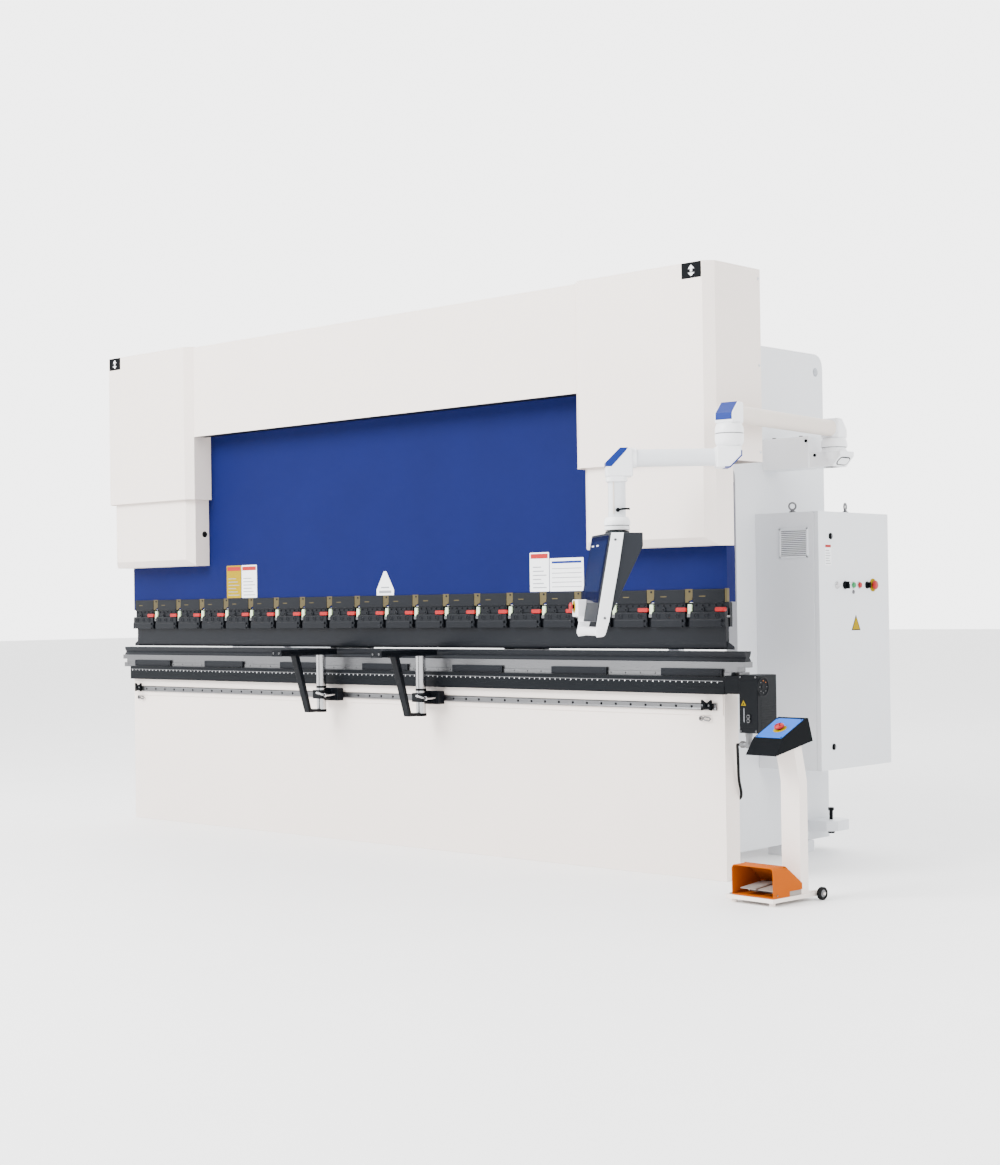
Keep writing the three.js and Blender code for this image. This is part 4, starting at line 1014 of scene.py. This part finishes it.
def stand_fittings():
    shape = Shape()
    sky, black, yellow, steel = range(4)
    front = sloping((-67, 618), (85, 690))
    shape.prism(rounded(-19, 106, 5, 154, 4, 3), "z", -0.2, 0.9, sky, 0.2, front)
    for u, v in ((-13, 11), (100, 11), (-13, 148), (100, 148)):
        shape.prism(rounded(u - 3, u + 3, v - 3, v + 3, 1, 2), "z", 0.7, 1.4, black, 0, front)
    shape.turned((52, 71.9, 0.6), UP, [(0, 27), (1.2, 27), (1.8, 26), (1.8, 11)], yellow, 36, front)
    for x in (-98, 98):
        shape.turned((x, -118, 30), UP, [(0, 9), (3, 9), (4, 8), (4, 5), (1, 4.6)], steel, 16)
    shape.make("stand_fittings", "pedestal", ["sky_film", "black_plastic", "yellow_film", "bare_steel"],
               at=STAND_FRAME)
    lean = math.radians(25.3)
    face = Matrix.Translation((52, -2, 649)) @ Matrix.Rotation(lean, 4, "X")
    button = Shape()
    button.rod((0, 0, -18), (0, 0, 10), 9, 1, 20, 0.5, at=face)
    button.turned((0, 0, 7), UP, [*STOP_CAP, (13.8, 8)], 0, 36, at=face)
    for k in range(3):
        button.box(-2, 2, 4, 14, 20.4, 21.2, 1, 0.2, face @ Matrix.Rotation(2 * math.pi * k / 3, 4, "Z"))
    button.make("stand_stop_button", "pedestal_estop", ["red_plastic", "black_plastic"], ["pedestal_estop"],
                at=STAND_FRAME)


def pedal_guard():
    """A rolled sheet-metal hood: open in front, round at its upper corners, and sloping down behind."""
    front, back, low, high = -132, 39.7, 30.3, 145
    left, right = -86, 113
    shape = Shape()
    shape.prism(arch(left, right, low, high, 17), "y", front, back)
    inside = Shape()
    inside.prism(arch(left + 4, right - 4, low + 4, high - 4, 13), "y", front - 10, back - 4, 0, 0)
    shape.drill(inside)
    above = Shape()
    above.prism([(-58, high + 5), (-58, high - 0.5), (back + 10, 66), (back + 10, high + 5)], "x", left - 5,
                right + 5, 0, 0)
    shape.drill(above)
    below = Shape()
    below.box(left - 5, right + 5, -36, back + 5, low - 5, low + 20, 0, 0)
    shape.drill(below)
    shape.prism([(-62, high), (-56, high), (back, 75), (back, 70)], "x", left + 3, right - 3, 0, 0.8)
    shape.box(left + 3, right - 3, -34, back - 1, low, low + 20, 2, 1.5)
    shape.box(left + 12, right - 12, -40, back - 6, low + 1, low + 16, 2, 1.5)
    rim = [(x, front + 1, z) for x, z in arch(left + 2, right - 2, low + 2, high - 2, 15)]
    shape.tube(rim, 2.4, 0, 10, True)
    for x, out in ((left, -1), (right, 1)):
        shape.screw((x, -110, 42), (out, 0, 0), 3.5, 1)
    shape.make("guard_hood", "pedestal", ["orange_paint", "bare_steel", "pedal_grey"], ["pedal_guard"],
               at=STAND_FRAME)


def pedal(side, x):
    half = 36
    shape = Shape()
    tread = [(-125, 56), (-125.6, 58), (-121, 60.5), (-70, 65), (-20, 70), (14, 71), (14, 62), (-20, 62)]
    shape.prism(tread, "x", x - half, x + half, 0, 1)
    for k in range(9):
        y = -114 + 13 * k
        z = 61 + 0.098 * (y + 114)
        shape.box(x - half + 6, x + half - 6, y, y + 5, z - 1, z + 1.2, 0, 0.5)
    shape.rod((x - half, 16, 64), (x + half, 16, 64), 8, 1, 24, 1)
    shape.make(f"pedal_tread_{side}", f"pedal_{side}", ["pedal_grey", "rubber"], [f"pedal_{side}"],
               at=STAND_FRAME)


def stand_wheel(side, sign):
    x, y, z = 131 * sign, WHEEL_Y, 25
    shape = Shape()
    for out in (-1, 1):
        shape.ring((x + out * 4.6, y, z), RIGHT, 19.6, 5.3, 0, steps=40)
    shape.turned((x - 5.5, y, z), RIGHT, [(0, 18), (0, 22), (11, 22), (11, 18)], 0, 40)
    shape.turned((x - 8, y, z), RIGHT, [(0, 7), (1, 13.5), (2.5, 14.5), (13.5, 14.5), (15, 13.5), (16, 7)],
                 1, 36)
    shape.make(f"castor_{side}", f"wheel_{side}", ["rubber", "bare_steel"], [f"wheel_{side}"],
               at=STAND_FRAME)


stand_fittings()
pedal_guard()
pedal("left", -14)
pedal("right", 70)
stand_wheel("left", -1)
stand_wheel("right", 1)


# Levelling screws, lifting plates and the parts seen from behind.
def jack_screw(side):
    x0, x1, y0, y1, z0, z1 = span(f"jack_screw_{side}")
    x, y = (x0 + x1) / 2, (y0 + y1) / 2
    shape = Shape()
    shape.rod((x, y, z0), (x, y, z0 + 12), (x1 - x0) / 2 - 0.3, 0, 32, 2)
    shape.rod((x, y, z0 + 10), (x, y, z1 - 12), 8.6, 0, 20, 1)
    for k in range(10):
        shape.ring((x, y, z1 - 16 - 4 * k), UP, 8.4, 0.9, 0, steps=20)
    shape.rod((x, y, z1 - 14), (x, y, z1), 14, 0, 6, 1.5)
    shape.make(f"levelling_screw_{side}", "machine", ["black_paint"], [f"jack_screw_{side}"])


def oil_tank_fittings():
    x0, x1, front, back, bottom, top = span("oil_tank")
    shape = Shape()
    paint, steel, black, glass = range(4)
    shape.box(x0 + 4, x1 - 4, front + 4, back - 4, top, top + 6, paint, 1)
    for k in range(24):
        x = x0 + 40 + (x1 - x0 - 80) * k / 23
        for y in (front + 14, back - 14):
            shape.screw((x, y, top + 6), UP, 6, steel)
    for x in (-1100, 900):
        shape.turned((x, 820, top + 5), UP,
                     [(0, 62), (6, 62), (8, 45), (40, 45), (44, 52), (70, 52), (76, 44)], black, 36)
    shape.box(-300, -276, back - 0.5, back + 6, bottom + 120, bottom + 330, steel, 1.5)
    shape.box(-296, -280, back + 4, back + 8, bottom + 140, bottom + 310, glass, 1)
    for x in (-900, 0, 900):
        shape.turned((x, back - 0.3, bottom + 60), (0, 1, 0),
                     [(0, 26), (6, 26), (9, 18), (22, 18), (24, 15)], steel, 6)
    for x in (-1200, -600, 600, 1200):
        shape.prism(rounded(x - 230, x + 230, bottom + 70, top - 60, 18, 3), "y", back - 1, back + 4, paint,
                    1)
        for u in (-205, 205):
            for z in (bottom + 95, top - 85):
                shape.screw((x + u, back + 4, z), (0, 1, 0), 8, steel)
    shape.make("tank_fittings", "machine", ["grey_paint", "bare_steel", "black_plastic", "display"])


def pump_motor():
    y0, y1, z0, z1 = span("pump_motor")[2:]
    y = (y0 + y1) / 2
    z = z1 - 100
    shape = Shape()
    blue, dark, steel = range(3)
    shape.rod((-96, y, z), (212, y, z), 86, blue, 40, 2)
    for k in range(36):
        turn = Matrix.Translation((0, y, z)) @ Matrix.Rotation(2 * math.pi * k / 36, 4, "X")
        shape.box(-90, 206, -1.6, 1.6, 84, 99, blue, 0.6, turn)
    shape.turned((-150, y, z), RIGHT, [(0, 60), (2, 90), (8, 99), (52, 99), (56, 92)], dark, 40)
    for k in range(5):
        shape.ring((-150.4, y, z), RIGHT, 20 + 14 * k, 2.2, blue, steps=36)
    shape.turned((208, y, z), RIGHT, [(0, 97), (14, 97), (18, 90), (42, 88)], blue, 40)
    shape.box(40, 160, y - 50, y + 50, z + 84, z1, blue, 3)
    shape.box(-118, 218, y - 78, y + 78, z0, z0 + 14, blue, 2)
    for x in (-80, 180):
        shape.prism([(y - 70, z0 + 12), (y + 70, z0 + 12), (y + 45, z0 + 72), (y - 45, z0 + 72)], "x",
                    x - 12, x + 12, blue, 2)
    for x in (-105, 205):
        for side in (-1, 1):
            shape.screw((x, y + 68 * side, z0 + 14), UP, 9, steel)
    shape.turned((250, y, z), RIGHT, [(-2, 66), (14, 66), (18, 58), (130, 58), (134, 50), (149, 46)], dark,
                 36)
    for screw_y, screw_z in circle(y, z, 56, 6):
        shape.screw((264, screw_y, screw_z), RIGHT, 5, steel)
    shape.box(300, 360, y - 26, y + 26, z + 50, z + 88, steel, 2)
    shape.make("motor_and_pump", "machine", ["blue_paint", "dark_plastic", "bare_steel"], ["pump_motor"])


def cylinder_fittings(side, sign):
    x, y = 1673 * sign, 10
    bottom, top = 1860, 2400
    shape = Shape()
    steel, dark = range(2)
    shape.turned((x, y, bottom - 0.5), UP, [(0, 94), (2, 97), (26, 97), (30, 92.4)], dark, 40)
    shape.turned((x, y, top - 30), UP, [(0, 92.4), (4, 97), (30, 97), (34, 92)], dark, 40)
    for k in range(8):
        turn = 2 * math.pi * (k + 0.5) / 8
        shape.screw((x + 80 * math.cos(turn), y + 80 * math.sin(turn), top + 4), UP, 9, steel)
    shape.box(x - 36, x + 36, y - 120, y - 84, 2120, 2230, steel, 2)
    shape.tube([(x, y - 102, 2228), (x, y - 102, 2300), (x, y - 92, 2360), (x, y - 60, 2420), (x, y, 2440),
                (x, y + 60, 2430),
                (x, y + 120, 2400)], 10, steel, 14)
    shape.make(f"cylinder_fittings_{side}", "machine", ["bare_steel", "dark_plastic"])


def gauge_fittings():
    fixed = Shape()
    for side in ("left", "right"):
        x0, x1, y0, y1, z0, z1 = span(f"backgauge_rail_{side}")
        x = (x0 + x1) / 2
        for k in range(14):
            y = y0 + 30 + 60 * k
            for place in (-20, 20):
                fixed.screw((x + place, y, z1), UP, 4.5, 0)
        fixed.box(x - 24, x + 24, y1 - 2, y1 + 8, z0 + 8, z1 - 8, 1, 1.5)
    fixed.make("gauge_rail_fittings", "machine", ["bare_steel", "black_plastic"])
    lifting = Shape()
    x0, x1, front, _, bottom, top = span("gauge_beam")
    for z in (bottom + 12, top - 20):
        lifting.box(x0 + 30, x1 - 30, front - 3, front + 0.5, z, z + 8, 0, 0.6)
    for k in range(28):
        lifting.screw((x0 + 40 + (x1 - x0 - 80) * k / 27, front, (bottom + top) / 2), FRONT, 4, 0)
    lifting.make("gauge_beam_fittings", "gauge_beam", ["bare_steel"])


for side_name in ("left", "right"):
    jack_screw(side_name)
oil_tank_fittings()
pump_motor()
cylinder_fittings("left", -1)
cylinder_fittings("right", 1)
gauge_fittings()


# Studio: a pale floor and soft light.
def area_light(name, at, towards, side, power):
    data = bpy.data.lights.new(name, "AREA")
    data.shape = "SQUARE"
    data.size = side
    data.energy = power
    lamp = bpy.data.objects.new(name, data)
    lamp.location = at
    lamp.rotation_euler = (Vector(towards) - Vector(at)).to_track_quat("-Z", "Y").to_euler()
    bpy.context.scene.collection.objects.link(lamp)


def studio():
    floor_mesh = bpy.data.meshes.new("floor")
    reach = 60
    corners = [(-reach, -reach, 0), (reach, -reach, 0), (reach, reach, 0), (-reach, reach, 0)]
    floor_mesh.from_pydata(corners, [], [(0, 1, 2, 3)])
    floor_mesh.materials.append(material("floor", (0.86, 0.86, 0.86), 0.6, tint=0.01))
    floor = bpy.data.objects.new("floor", floor_mesh)
    bpy.context.scene.collection.objects.link(floor)
    world = bpy.data.worlds.new("studio")
    world.use_nodes = True
    tree = world.node_tree
    sky = tree.nodes["Background"]
    sky.inputs["Color"].default_value = (1, 1, 1, 1)
    place = add_node(tree, "TexCoord")
    towards = add_node(tree, "VectorMath")
    towards.operation = "DOT_PRODUCT"
    towards.inputs[1].default_value = (-0.68, 0.73, 0)
    spread = add_node(tree, "MapRange", From_Min=-0.6, From_Max=0.9, To_Min=1.5, To_Max=4.6)
    tree.links.new(place.outputs["Generated"], towards.inputs[0])
    tree.links.new(towards.outputs["Value"], spread.inputs["Value"])
    tree.links.new(spread.outputs["Result"], sky.inputs["Strength"])
    bpy.context.scene.world = world
    area_light("key", (-1.5, -7.5, 6.5), (0, 0, 1.2), 5, 2100)
    area_light("fill", (8, -1.5, 4.5), (1.5, 0, 1.2), 4, 300)
    area_light("back", (0, 8, 6), (0, 0, 1.4), 5, 120)


studio()
